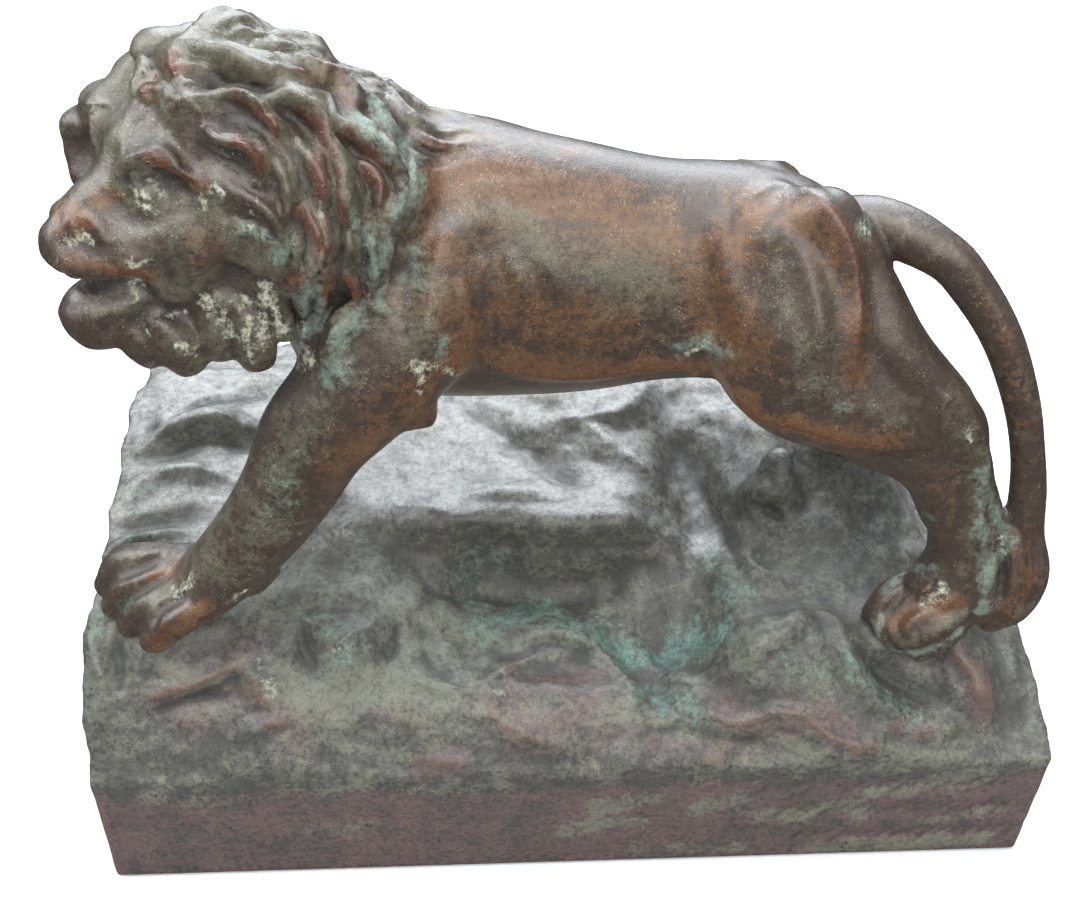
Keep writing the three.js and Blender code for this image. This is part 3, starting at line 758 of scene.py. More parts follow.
# The same columns as for the face
BODY_STROKES = [
    ("440,172 462,166 498,165 532,174", 6, 1, 0.3, 1.1),
    ("470,180 500,184 526,189 552,186", 5, 0.9, 0.3),
    ("505,214 474,222 442,236 433,262 428,292 425,322 436,350", 7, 1.8, 0.3, 1.3),
    ("418,250 410,290 404,330", 7, -1.2), ("452,252 462,285 470,318", 4, 0.7),
    ("476,250 492,285 504,318", 4.5, 0.8), ("503,248 520,282 534,314", 4.5, 0.8),
    ("532,244 552,274 570,306", 4.5, 0.8),
    ("444,366 480,365 520,371 560,376 602,374 642,367 682,367 702,374 722,390 748,411", 4.6, 1.3, 0.2),
    ("700,240 708,270 712,300 722,330 740,362 752,392", 5.5, -1.2),
    ("740,203 727,224 721,250 724,282 735,312", 5, 0.9),
    ("756,194 782,187 804,193 825,206 842,229 852,256 858,291 859,330 854,366", 6, 2.2, -0.4),
    ("868,262 875,295 884,330", 5, -1.2), ("786,236 804,262 814,296 821,330 822,356", 5, 1, 0.2),
    ("828,252 838,290 841,330 838,360", 4.4, -1), ("764,240 760,275 768,312", 7, -0.9),
    ("722,392 748,411 792,425 842,440 892,448 926,446", 4.6, 1.3, 0.2),
    ("868,338 884,362 905,384 928,402", 3.4, -0.9, 0, 1.1),
    ("880,352 900,376 922,396", 2.6, 0.6, 0, 1.1), ("908,404 912,422 910,440", 2.4, -0.6, 0, 1.1),
    ("921,404 925,422 924,440", 2.4, -0.6, 0, 1.1),
    ("950,398 968,412 980,436 984,466 982,502 976,540 968,574", 4.2, 1.7, -0.2),
    ("930,428 946,456 950,494 946,530 938,556", 4.6, -1.2),
    ("922,484 934,510 938,540 930,562", 3.6, 0.8, 0.2),
    ("886,642 880,618 890,598 910,584 936,578", 3.4, 1.6, 0.3, 1.1),
    ("900,640 897,622 912,606 936,600 950,590", 2.8, -1.1, 0, 1.1),
    ("892,652 916,640 944,630 966,612 970,596", 3.4, 1.2, 0.2, 1.1),
    ("866,612 868,630 884,648", 2.6, -0.9, 0, 1.1), ("1000,540 1004,572 1000,604", 2.4, -1.6, 0, 1.1),
    ("1014,516 1022,552 1019,592 1006,618", 2.4, -1.9, 0, 1.1),
    ("1030,524 1037,562 1033,598 1020,618", 2.2, -1.5, 0, 1.1),
    ("1008,530 1014,566 1010,604", 2.6, 1.2, 0, 1.1),
    ("880,196 920,210 956,240 984,280 1006,330 1020,390 1026,440", 4, 0.5, -0.2),
    ("412,372 418,392 420,410", 4, -0.7), ("330,392 302,440 276,492 250,540", 6, 0.7, 0, 1.3),
    ("104,592 130,573 165,553", 2.2, -1.4, 0, 1.1), ("116,616 140,592 172,570", 2.2, -1.4, 0, 1.1),
    ("138,638 160,610 188,592", 2.2, -1.2, 0, 1.1), ("152,640 172,620 196,604", 2.6, 0.7, 0, 1.1),
]
body_mirror = (SPINE, ACROSS)
body_strokes = strokes_on(lion_tree, BODY_STROKES, body_mirror)
work(lion, body_strokes)
print(len(body_strokes), "strokes on body and legs")

# %% [markdown]
# ## Rock and plinth
# The ground is a grid primitive raised to the frame's own heights, with a skirt extruded down
# to the table. A voxel remesh makes it a closed skin that can be worked like the lion's.

# %% Rock and plinth
BASE_LENGTH, BASE_DEPTH, PLINTH_HEIGHT = 260, 136, 39
GROUND_Y = [-68, -60, -50, -35, -15, 5, 25, 45, 68]
GROUND_LEFT = [41, 57, 66, 75, 82, 86, 91, 94, 93]
GROUND_RIGHT = [40, 44, 50, 56, 58, 58, 58, 56, 52]
# Mounds, boulders and hollows: x, y, half length, half depth, rise, steepness of the edge
MOUNDS = [
    [-110, -46, 22, 12, 10, 1], [88, -47, 20, 12, 9, 1], [-112, 22, 20, 22, 6, 1], [-20, -5, 30, 8, 4, 1],
    [36, 0, 13, 34, -12, 1], [57, -6, 9, 8, 15, 2], [82, 12, 24, 18, 26, 1], [20, 34, 40, 20, 4, 1],
    [52, -51, 20, 9, 7, 2], [108, -47, 12, 11, 9, 2], [29, -34, 13, 20, -16, 1], [12, -60, 34, 8, -5, 1],
    [23, -32, 6, 24, -6, 1],
]
MOUND_FALL = 1.4
# The hollow under the belly: start, end and the width of each slope. Its ledge is steeper than
# the solid's, because the grid can follow it.
HOLLOW_X, HOLLOW_Y, HOLLOW_DROP = (-40, 19, 28, 9), (-50, -14, 14, 2.8), -19
# Between these lengths the ground passes from its left heights to its right ones
LOW_SIDE = (60, 132)


def smoothstep(value, low, high):
    """0 below low, 1 above high, smooth between."""
    t = np.clip((value - low) / (high - low), 0, 1)
    return t * t * (3 - 2 * t)


def inside(value, start, end, first_slope, last_slope):
    """1 between start and end, 0 outside, with a slope at each."""
    entered = smoothstep(value, start - first_slope, start + first_slope)
    return entered * (1 - smoothstep(value, end - last_slope, end + last_slope))


def ground_height(x, y):
    """The ground's height in mm, as in the frame."""
    to_right = smoothstep(x, *LOW_SIDE)
    left_part = np.interp(y, GROUND_Y, GROUND_LEFT) * (1 - to_right)
    height = left_part + np.interp(y, GROUND_Y, GROUND_RIGHT) * to_right
    for mx, my, sx, sy, rise, steep in MOUNDS:
        far = ((x - mx) / sx) ** 2 + ((y - my) / sy) ** 2
        height += rise * np.exp(-((far * MOUND_FALL) ** steep))
    height += HOLLOW_DROP * inside(x, *HOLLOW_X) * inside(y, *HOLLOW_Y)
    return np.maximum(height, PLINTH_HEIGHT + 1)


def waves(points, size, seed, octaves=4):
    """Smooth random heights between about -1 and 1 at each place in mm."""
    shift = Vector((seed, seed * 0.7, -seed))
    return np.array([noise.fractal(Vector(p) / size + shift, 0.9, 2.1, octaves) for p in points])


GRID_STEP = 1.3
WANDER, WANDER_SIZE = 4.0, 26
bpy.ops.object.select_all(action="DESELECT")
bpy.ops.mesh.primitive_grid_add(
    x_subdivisions=int(BASE_LENGTH / GRID_STEP), y_subdivisions=int(BASE_DEPTH / GRID_STEP), size=1)
rock = bpy.context.object
grid = places(rock) * (BASE_LENGTH, BASE_DEPTH, 1)
sideways = waves(grid, WANDER_SIZE, 3.1, 2) * WANDER
depthways = waves(grid, WANDER_SIZE, 8.4, 2) * WANDER
grid[:, 2] = ground_height(grid[:, 0] + sideways, grid[:, 1] + depthways)
put(rock, grid * MM)
bpy.ops.object.mode_set(mode="EDIT")
bpy.ops.mesh.select_all(action="SELECT")
bpy.ops.mesh.region_to_loop()
bpy.ops.mesh.extrude_region_move()
bpy.ops.object.mode_set(mode="OBJECT")
skirt = places(rock)
chosen = np.zeros(len(skirt), bool)
rock.data.vertices.foreach_get("select", chosen)
skirt[chosen, 2] = 0
put(rock, skirt)
bpy.ops.object.mode_set(mode="EDIT")
bpy.ops.mesh.edge_face_add()
bpy.ops.mesh.select_all(action="SELECT")
bpy.ops.mesh.normals_make_consistent(inside=False)
bpy.ops.object.mode_set(mode="OBJECT")
rock = fuse("rock_bronze", [rock], voxel=1.1, smoothing=2)

# %% [markdown]
# ## Crags
# Ledge, folds, knob and ridges are read from the photograph. The back gets crags of its own from
# smooth random heights, plainer than the front. The plinth's band stays nearly flat. File marks
# cross the right half of its front: rows of shallow strokes that are no letters.

# %% Crags
# The same columns as for the face; every height is multiplied by STROKE_DEPTH
ROCK_STROKES = [
    ("396,506 430,512 470,520 520,522 570,523 612,520 636,520", 7, 1.6, -0.2),
    ("400,545 440,590 500,596 560,600 620,590", 8, -1.6, 0, 1.3),
    ("748,500 756,492 772,492 786,500", 5, 1.6), ("758,508 770,512 782,519", 2.6, -1.4, 0, 1.1),
    ("748,540 762,556 782,566", 6, -1.4),
    ("520,650 540,636 572,641 594,654 623,680 636,708", 5, 2, 0.4),
    ("480,690 510,672 540,660 570,652", 4, 1.3, 0.2),
    ("703,696 718,676 744,660 763,645 789,629 814,621 830,628 843,657 859,686 878,705 900,724 948,727",
     6, 2.2, 0.3), ("712,712 731,721 760,715 776,708 805,712 818,724 843,740 875,743", 4.4, 1.6, -0.4),
    ("620,650 650,680 664,712", 9, -1.8, 0, 1.3), ("640,640 676,660 716,662 750,640", 8, -1.4, 0, 1.3),
    ("850,640 880,672 912,690 940,700", 6, -1.6, 0, 1.3), ("945,664 956,690 960,714", 4, 1.4),
    ("967,664 976,690 986,721", 4, 1.4), ("140,704 165,694 197,681 230,668 264,651", 5, 1.8, 0.4),
    ("150,716 190,702 236,690", 5, -1.4), ("240,740 262,726 283,719", 4, 1.2, 0.2),
    ("395,620 398,646 384,668", 4, -1.4), ("300,620 304,650 318,674", 4, -1.2),
    ("400,676 440,688 480,694", 4, 1.2, 0.2),
    ("960,628 985,622 1002,634 1010,660 1012,700", 5, 1.5, -0.2),
    ("950,650 972,672 986,700 992,728", 4, 1.2, 0.2),
    ("650,402 690,470 722,540 760,590 830,604", 9, -1.4, 0, 1.3),
    ("560,400 600,440 640,470 660,500", 9, 1.6, 0, 1.3),
    ("450,400 500,430 560,470 600,500", 8, -1.4, 0, 1.3),
    ("520,432 560,424 610,416 640,400", 8, 1.8, 0, 1.3),
    ("140,452 170,432 206,424 242,432", 6, 2.2, 0.2), ("150,440 190,408 222,398 256,396", 4, -1.8),
    ("148,468 190,448 226,444 250,452", 6, -2), ("118,510 150,480 196,474 232,484", 6, 1.2, 0.2),
    ("104,552 130,530 170,522 206,520", 5, -1.6), ("92,570 116,546 150,536 190,530", 4, 1.6, 0.2),
    ("88,588 104,566 130,552 166,546", 3.4, -1.4), ("84,610 96,640 104,680 92,720", 5, 1.4),
    ("110,622 116,660 120,700", 4.4, -1.2), ("92,686 110,700 130,690", 4.4, 1.2),
    ("150,660 190,676 230,664 256,648", 5, 1.2, 0.2), ("250,660 256,690 280,712", 4, 1),
    ("284,606 330,612 372,610", 6, -1.2), ("330,626 350,648 340,672", 7, 1.4, 0, 1.3),
    ("420,620 430,660 470,690", 6, -1, 0, 1.3), ("430,770 444,758 462,768", 4, 0.9),
    ("880,720 910,733 944,726", 3.4, 1.2, 0.2), ("600,740 660,730 720,738 780,752", 5, -0.9, 0, 1.3),
    ("488,690 500,720 540,740 584,748", 5, 1, 0, 1.3),
]
ROCK_PRESSES = [
    ((149, 428), 2.4, -1.4), ((222, 430), 9, 1.6), ((180, 480), 9, 1), ((600, 500), 8, 0.8),
    ((700, 500), 9, 0.6), ((480, 560), 10, -1), ((585, 566), 4, 0.6), ((800, 660), 9, 0.8),
    ((268, 676), 5, 1.1), ((352, 636), 9, 1.6), ((560, 720), 9, 1), ((906, 620), 6, -0.8),
]
# Heights of the random crags in mm, and where the band ends and the back begins
BACK_CRAG, FRONT_CRAG, SURFACE_CRAG, BAND_CRAG = 2.6, 1.0, 0.35, 0.15
PLINTH_EDGE, BACK_FROM = 6, (10, 40)
STROKE_DEPTH = 2.1
rock_tree = surface(rock)
rows = [(pixels, reach, height * STROKE_DEPTH, *form) for pixels, reach, height, *form in ROCK_STROKES]
rock_strokes = strokes_on(rock_tree, rows)
rock_presses = [
    (seen(rock_tree, [place])[0], radius, push * STROKE_DEPTH) for place, radius, push in ROCK_PRESSES
]
work(rock, rock_strokes, rock_presses)

points, normals = places(rock), facing(rock)
in_mm = points / MM
above_plinth = smoothstep(in_mm[:, 2], PLINTH_HEIGHT - PLINTH_EDGE, PLINTH_HEIGHT + PLINTH_EDGE)
behind = smoothstep(in_mm[:, 1], *BACK_FROM) * above_plinth
big, small = waves(in_mm, 20, 1.7), waves(in_mm, 8, 5.2, 4)
ridges = 0.35 - np.abs(waves(in_mm, 16, 9.6, 3))
crag = behind * BACK_CRAG * big + (above_plinth * SURFACE_CRAG + BAND_CRAG) * small
crag += above_plinth * (1 - behind) * FRONT_CRAG * ridges
crag *= smoothstep(in_mm[:, 2], 0.5, 4)
put(rock, points + normals * (crag * MM)[:, None])
apply(rock, "SMOOTH", factor=0.5, iterations=2)

# File marks on the front of the band: slanted scratches in a few rows
SCRATCH_LEFT, SCRATCH_RIGHT, SCRATCH_STEP, SCRATCH_SLANT = 48, 118, 4.2, 6.4
SCRATCH_REACH, SCRATCH_DEPTH = 1.9, -1.3
SCRATCH_ROWS, ROW_SHIFT, BAND_FRONT = [(34, 28), (24, 17), (13, 6)], 6, -68.6
scratches = []
for row, (top, low) in enumerate(SCRATCH_ROWS):
    for i in range(int((SCRATCH_RIGHT - SCRATCH_LEFT) / SCRATCH_STEP)):
        x = SCRATCH_LEFT + row * ROW_SHIFT + i * SCRATCH_STEP
        start = np.array([x, BAND_FRONT, low + i % 3])
        end = np.array([x + SCRATCH_SLANT, BAND_FRONT, top - i % 2])
        ends = [(start * MM, -ACROSS), (end * MM, -ACROSS)]
        scratches.append(stroke(ends, SCRATCH_REACH, SCRATCH_DEPTH, blunt=1))
work(rock, scratches)
print("rock", len(rock.data.polygons), "faces,", len(scratches), "file marks")

# %% [markdown]
# ## Where the patina lies
# Old bronze is worn to red-brown where hands and weather reach it, and keeps green and grey crust
# in its hollows. Both skins are thinned first, so that they are easy to handle. Then each vertex
# gets a few numbers that the finish reads: how far it stands out of the softened form, how deep
# it lies in it, how much it looks up, and how much rust, film, verdigris or pale crust the
# photograph shows there.

# %% Where the patina lies
MOST_TRIANGLES = 190_000
# How strongly noise frays a smear's edge, and the noise's size in mm
FRAYING, FRAY_SIZE = 0.9, 7
for piece in (lion, rock):
    triangles = sum(len(polygon.vertices) - 2 for polygon in piece.data.polygons)
    apply(piece, "DECIMATE", ratio=min(1, MOST_TRIANGLES / triangles))
    print(piece.name, triangles, "triangles, now", len(piece.data.polygons))


def softened(piece, values, rounds):
    """Averages the values of neighbouring vertices, again and again."""
    ends = np.empty(len(piece.data.edges) * 2, int)
    piece.data.edges.foreach_get("vertices", ends)
    a, b = ends[::2], ends[1::2]
    count = len(values)
    links = np.bincount(a, minlength=count) + np.bincount(b, minlength=count)
    for _ in range(rounds):
        sums = [np.bincount(a, part[b], count) + np.bincount(b, part[a], count) for part in values.T]
        values = (values + np.array(sums).T) / (links + 1)[:, None]
    return values


def note(piece, name, values):
    """Keeps one number for each vertex."""
    attribute = piece.data.attributes.new(name, "FLOAT", "POINT")
    attribute.data.foreach_set("value", np.ascontiguousarray(values, np.float32))


def note_relief(piece, rounds, full, upward_share=1.0):
    """Keeps how far each vertex stands out of the softened form or lies in it, where `full` mm
    count as 1, and how much it looks up, for the painted sky sheen and, on the rock, dust."""
    points, normals = places(piece), facing(piece)
    out = ((points - softened(piece, points, rounds)) * normals).sum(1) / (full * MM)
    note(piece, "crest", np.clip(out, 0, 1))
    note(piece, "hollow", np.clip(-out, 0, 1))
    note(piece, "upward", np.clip(normals[:, 2], 0, 1) * upward_share)


def note_daubs(piece, name, smears, under=0.0, both_sides=False):
    """Keeps how much of a film or crust lies along each smear. Smooth noise frays its edges."""
    points, tree = places(piece), surface(piece)
    frayed = np.exp(FRAYING * waves(points / MM, FRAY_SIZE, 2.2, 3))
    amount = np.zeros(len(points)) + under
    for pixels, radius, *thick in smears:
        hits = seen(tree, spots(pixels))
        wide = 3 * radius * MM
        for side in [hits, mirrored(tree, hits, *body_mirror)] if both_sides else [hits]:
            knots = np.array([place for place, _ in side])
            path = spline(knots, np.linspace(0, 1, 6 * len(knots))) if len(knots) > 1 else knots
            box = (points > path.min(0) - wide).all(1) & (points < path.max(0) + wide).all(1)
            near = np.flatnonzero(box)
            gap = np.linalg.norm(points[near, None] - path[None], axis=2).min(1) / (radius * MM)
            gap *= frayed[near]
            amount[near] = np.maximum(amount[near], np.exp(-(gap**2) * 0.5) * (thick or [1])[0])
    note(piece, name, amount)


# %% [markdown]
# ## Smears of rust, film and crust
# Each smear follows places in the photograph. On the lion every smear is mirrored to the far side.

# %% Smears of rust, film and crust
# Places in the photograph, a radius in mm, and how thick the smear is, 1 if nothing is said
LION_VERDIGRIS = [
    ("400,150 412,176 408,196 398,214", 4.2), ("372,100 388,120 402,140 420,158", 2.4),
    ("354,112 372,130 392,156", 2), ("312,268 306,286 310,306 316,322 306,336", 3),
    ("358,312 346,324 336,342 334,360 328,374", 3.2), ("386,226 388,246 382,262", 1.8),
    ("366,234 374,262 376,290 380,304", 1.8), ("246,230 262,232 273,242 278,262", 1.8),
    ("134,184 150,180 158,194", 2, 0.6), ("680,350 696,344 716,352", 3), ("838,407", 1.6),
    ("862,228 870,224", 1.6), ("1004,498 1000,520 1004,544 992,566", 2.6),
    ("980,500 984,540 986,580 982,612", 2), ("404,276", 1.4), ("444,340 438,354", 1.8),
    ("860,606 868,632 890,654 920,652 960,632", 1.6), ("884,590 906,572 934,568", 1.4),
    ("300,462 288,484 270,506", 3.5, 0.6), ("118,606 140,600", 1.6, 0.6), ("412,252 418,280", 1.6),
    ("286,230 290,250", 1.4), ("350,200 356,226", 1.4),
]
LION_CRUST = [
    ("76,240 88,236 92,246", 1.5), ("64,236 68,246", 0.8), ("206,300 214,308 222,316 228,332", 1.7),
    ("240,302 252,302 262,314 266,340", 1.9), ("250,318 246,340 252,360", 1.2),
    ("264,286 270,296 276,312 284,332", 1.9), ("292,352 304,346 310,356 298,366", 2.4),
    ("302,318 304,334", 1.3), ("134,186 140,204 152,208", 1.4, 0.9), ("150,182 160,192", 1.1, 0.9),
    ("142,194 148,198", 1), ("216,188 224,194", 1.6), ("180,346 192,352", 1.5), ("130,264 136,262", 1),
    ("146,262 150,262", 0.9), ("130,280 138,288 134,298", 1.5), ("258,190 256,202", 0.9),
    ("248,204 252,214", 0.9), ("204,200 206,206", 0.8), ("412,364 420,372 428,366", 1.6),
    ("422,376 420,394", 1.2), ("448,372 458,376", 1.2), ("924,602 934,596 944,588", 1.7),
    ("688,354 704,344", 1.2), ("176,592 192,582", 1.5), ("232,600 246,590", 1.6),
    ("968,430 972,446", 1), ("1000,536 1006,552", 1.2), ("862,226 868,232", 0.9),
    ("144,322 148,334", 1.2), ("170,316 186,312", 0.9), ("238,232 254,226", 0.9),
    ("320,202 322,216", 0.8),
]
LION_RUST = [
    ("440,184 500,182 560,196 610,214", 8, 1.1), ("436,240 446,290 470,340", 7, 0.8),
    ("500,300 560,316 620,320", 8, 0.9), ("640,230 690,260 710,300 730,360", 7, 0.9),
    ("742,214 780,206 822,222 840,260", 5, 0.9), ("730,240 724,290 740,340", 6),
    ("450,360 560,374 680,366 750,410", 3.4, 1.4), ("750,410 820,432 890,444", 2.6, 1.1),
    ("850,260 858,320 852,370", 3), ("930,440 948,490 946,540", 3, 0.6),
    ("424,412 400,400 360,440 330,470", 6, 0.75), ("404,390 430,386", 4, 0.9),
    ("200,606 170,634 152,646", 2.2, 1.2), ("150,578 172,568", 1.8, 1.2),
    ("895,620 930,606 960,600", 2.4, 1.2), ("190,236 214,244 200,262", 2.4, 0.8),
    ("150,158 162,162 172,172", 1.1, 1.2), ("180,176 200,186", 1.2),
    ("300,210 318,230 318,262 292,282", 2, 1.3), ("322,266 328,290", 1.6, 1.2),
    ("346,280 354,296 338,318", 1.8, 1.2), ("368,172 386,192 380,220", 2.2, 1.3),
    ("300,112 320,140 318,196", 1.8, 1.2), ("328,150 336,180 346,222", 1.8),
    ("240,140 256,150 260,166", 1.4, 1.3), ("150,92 160,72 178,72", 2, 1.1),
    ("240,102 262,118 274,136", 1.4, 1.2), ("60,216 86,222", 2.2, 1.2), ("100,200 112,196", 2),
    ("80,262 110,270 150,276", 1.8, 0.9), ("1016,530 1024,580 1006,610", 2.6, 0.8),
    ("345,136 382,162", 1.8, 1.2), ("300,70 336,84 350,108", 1.8),
    ("960,240 1000,320 1020,420", 2, 0.6),
]
LION_FILM = [
    ("150,60 220,60 290,90 330,150 330,240", 14, 1.3), ("380,90 430,130 400,200", 10, 0.8),
    ("540,240 600,260 650,290", 9, 1.1), ("452,212 490,206 520,214", 5),
    ("120,180 180,220 220,260 160,290", 10, 0.8), ("410,230 420,290 412,340", 6, 0.8),
    ("340,360 300,440 240,520 160,590", 8, 0.7), ("790,240 800,300 810,360", 10, 0.6),
    ("960,420 980,480 975,560", 4, 0.9), ("880,220 950,250 1000,330 1020,420", 4, 0.3),
    ("900,640 950,610", 5, 0.7), ("990,540 1010,600", 5, 0.7), ("180,330 280,350", 8, 0.8),
    ("700,350 690,360", 5, 0.9), ("840,400 900,420", 5, 0.4),
]
ROCK_VERDIGRIS = [
    ("480,622 530,612 580,626 610,644", 6, 0.8), ("600,640 640,656 690,646 720,632", 6, 0.9),
    ("640,690 660,700 690,706", 6, 0.7), ("790,656 810,664", 5, 0.6),
    ("330,616 352,632 346,656", 5, 0.7), ("460,600 480,560 500,556", 5, 0.6),
    ("850,664 880,690 910,712", 4, 0.7), ("140,500 170,470", 5, 0.5), ("120,560 150,540", 4, 0.6),
    ("720,560 740,600", 6, 0.6), ("100,560 96,620", 4, 0.6),
]
ROCK_CRUST = [
    ("258,662 266,680 276,694", 2.2, 0.9), ("336,650 350,634", 1.8, 0.8), ("496,690 506,694", 1, 0.9),
    ("874,680 890,692", 1.4, 0.7), ("900,716 924,716", 1.2, 0.7), ("580,616 606,624", 1.6, 0.6),
]
ROCK_RUST = [
    ("180,690 216,676 246,654", 5.4, 0.8), ("236,690 262,712 290,724", 5.4),
    ("500,700 548,680 590,672", 5.4), ("520,720 560,720 590,700", 6.6),
    ("720,700 740,722 780,728", 4.5), ("800,716 830,722 860,742", 5.1),
    ("958,660 976,676 988,710", 3.6), ("430,768 450,762", 3.9, 1.1), ("890,728 926,732", 2.7),
    ("600,730 680,748 740,744", 4.5, 0.8), ("380,714 410,722", 3, 0.8), ("200,720 160,700", 4.5),
]
ROCK_FILM = [
    ("180,700 300,700 420,700", 14), ("500,700 640,720 760,730 900,740", 12, 0.9),
    ("280,620 420,640 600,660", 12, 0.8), ("760,660 860,680", 10, 0.8), ("120,640 100,700", 8, 0.7),
    ("604,808 648,798", 3, 1.3), ("696,808 744,800", 3, 1.3), ("760,816 860,806", 4, 1.3),
    ("872,792 986,776", 4, 1.1), ("560,832 640,820", 3, 1.1), ("300,832 380,824", 3, 0.9),
    ("420,792 500,786", 2.5), ("150,800 240,806", 4, 0.8), ("640,852 740,846", 3, 1.1),
    ("800,852 980,836", 4, 1.2), ("330,790 360,786", 3, 0.9), ("920,822 1000,806", 3, 1.1),
]
# The plinth's band is plum brown all round, and the rock above it has the film instead
BAND_TOP, BAND_FADE, BAND_RUST, ROCK_HAZE = 36, 5, 0.85, 0.4
# Up-facing rock gets dust and painted sky light only behind these depths in mm; rain washes dust off the
# front
UPWARD_DEPTHS = (-45, -5)

note_relief(lion, rounds=10, full=0.55)
lion_smears = {"verdigris": LION_VERDIGRIS, "crust": LION_CRUST, "rust": LION_RUST, "film": LION_FILM}
for name, smears in lion_smears.items():
    note_daubs(lion, name, smears, both_sides=True)
note_relief(rock, rounds=14, full=0.8, upward_share=smoothstep(places(rock)[:, 1] / MM, *UPWARD_DEPTHS))
note_daubs(rock, "verdigris", ROCK_VERDIGRIS)
note_daubs(rock, "crust", ROCK_CRUST)
band = 1 - smoothstep(places(rock)[:, 2] / MM, BAND_TOP - BAND_FADE, BAND_TOP + BAND_FADE)
note_daubs(rock, "film", ROCK_FILM, under=ROCK_HAZE * (1 - band))
note_daubs(rock, "rust", ROCK_RUST, under=band * BAND_RUST)
print("noted on each vertex:", [a.name for a in lion.data.attributes if a.data_type == "FLOAT"])

# %% [markdown]
# ## Tools for shaders
# A few short functions add nodes to a shader and join them, so that the finish can be written
# down as sums and layers.

# %% Tools for shaders
def link(tree, value, socket):
    """Feeds a socket with another node's output, or sets its value."""
    if isinstance(value, bpy.types.NodeSocket):
        tree.links.new(value, socket)
    else:
        socket.default_value = value


def new_node(tree, kind, settings=None, **inputs):
    """A shader node with its settings and inputs; an underscore stands for a space."""
    made = tree.nodes.new("ShaderNode" + kind)
    for name, value in (settings or {}).items():
        setattr(made, name, value)
    for name, value in inputs.items():
        link(tree, value, made.inputs[name.replace("_", " ")])
    return made


def sum_up(tree, operation, *values):
    """The result of a sum on two or three values."""
    made = tree.nodes.new("ShaderNodeMath")
    made.operation = operation
    for value, socket in zip(values, made.inputs):
        link(tree, value, socket)
    return made.outputs[0]


def blend(tree, amount, under, over):
    """A colour laid over another by an amount."""
    made = tree.nodes.new("ShaderNodeMix")
    made.data_type = "RGBA"
    link(tree, amount, made.inputs[0])
    link(tree, under, made.inputs[6])
    link(tree, over, made.inputs[7])
    return made.outputs[2]


def step_up(tree, value, low, high):
    """0 below low, 1 above high, smooth between."""
    settings = {"interpolation_type": "SMOOTHSTEP"}
    return new_node(tree, "MapRange", settings, From_Min=low, From_Max=high, Value=value).outputs["Result"]


def grain(tree, place, scale, detail, roughness=0.6):
    """Noise at a place; a larger scale is finer."""
    made = new_node(tree, "TexNoise", Vector=place, Scale=scale, Detail=detail, Roughness=roughness)
    return made.outputs["Fac"]


# %% [markdown]
# ## Layers of patina
# One node group makes worn bronze in layers. From below: the body colour, warm rust, a cloudy
# film, a pale layer on up-facing surfaces (painted sky sheen on the lion, dust and painted sky light
# on the rock), rubbed crests, painted shade in the hollows, verdigris, pale crust, fine specks and
# dark pits. Noise breaks up each of them.

# %% Layers of patina
COLOURS = ("Body", "Cloud", "Warm", "Rubbed", "Dust", "Verdigris Colour", "Crust Colour", "Settled Colour")
NOTED = ("Crest", "Hollow", "Upward", "Rust", "Film", "Verdigris", "Crust")
AMOUNTS = (*NOTED, "Specks", "Sky Sheen And Ash")

patina = bpy.data.node_groups.new("worn_bronze", "ShaderNodeTree")
for names, way, kind in (
    (["Place"], "INPUT", "Vector"), (COLOURS, "INPUT", "Color"), (AMOUNTS, "INPUT", "Float"),
    (["Colour"], "OUTPUT", "Color"), (["Roughness", "Height"], "OUTPUT", "Float"),
):
    for name in names:
        patina.interface.new_socket(name, in_out=way, socket_type="NodeSocket" + kind)

given = patina.nodes.new("NodeGroupInput").outputs
DRAWN_OUT = (0.3, 0.6, 1.6)
drawn_out = new_node(patina, "VectorMath", {"operation": "MULTIPLY"})
patina.links.new(given["Place"], drawn_out.inputs[0])
drawn_out.inputs[1].default_value = DRAWN_OUT
# Five sizes of noise, from clouds to grit
cloudy = grain(patina, given["Place"], 55, 5)
mottled = grain(patina, given["Place"], 170, 6, 0.68)
streaky = grain(patina, drawn_out.outputs[0], 260, 5, 0.65)
fine = grain(patina, given["Place"], 620, 5, 0.7)
gritty = grain(patina, given["Place"], 2600, 2, 0.6)


def mixture(parts):
    """The sum of several values, each times its share."""
    total = 0.0
    for value, share in parts:
        total = sum_up(patina, "MULTIPLY_ADD", value, share, total)
    return total


def laid(under, amount, full, colour):
    """A colour with another laid over it, by an amount that counts up to full."""
    return blend(patina, sum_up(patina, "MULTIPLY", amount, full), under, colour)


broken = mixture([(mottled, 0.45), (fine, 0.35), (streaky, 0.2)])
rusty = step_up(patina, mixture([(given["Rust"], 0.55), (broken, 3.0), (cloudy, 0.8)]), 2.0, 2.55)
colour = laid(given["Body"], rusty, 0.9, given["Warm"])
# The hollow term keeps film out of the deepest creases and leaves them dark: painted shade.
haze = mixture([
    (given["Film"], 0.5), (given["Rust"], -0.25), (given["Hollow"], -0.3), (broken, 2.2), (cloudy, 0.9),
])
clouded = step_up(patina, haze, 1.6, 2.1)
colour = laid(colour, clouded, 0.75, given["Cloud"])
# Up-facing surfaces turn pale: painted sky sheen on the lion, dust with painted sky light on the rock.
sky_sheen_and_ash = step_up(patina, mixture([(given["Upward"], 1.0), (broken, 0.9)]), 1.05, 1.7)
colour = laid(colour, sky_sheen_and_ash, given["Sky Sheen And Ash"], given["Settled Colour"])
handled = sum_up(patina, "MULTIPLY", given["Crest"], mixture([(given["Rust"], 1.3), (1.0, 0.35)]))
rubbed = step_up(patina, mixture([(handled, 1.0), (broken, 1.5)]), 1.3, 2.1)
colour = laid(colour, rubbed, 0.85, given["Rubbed"])
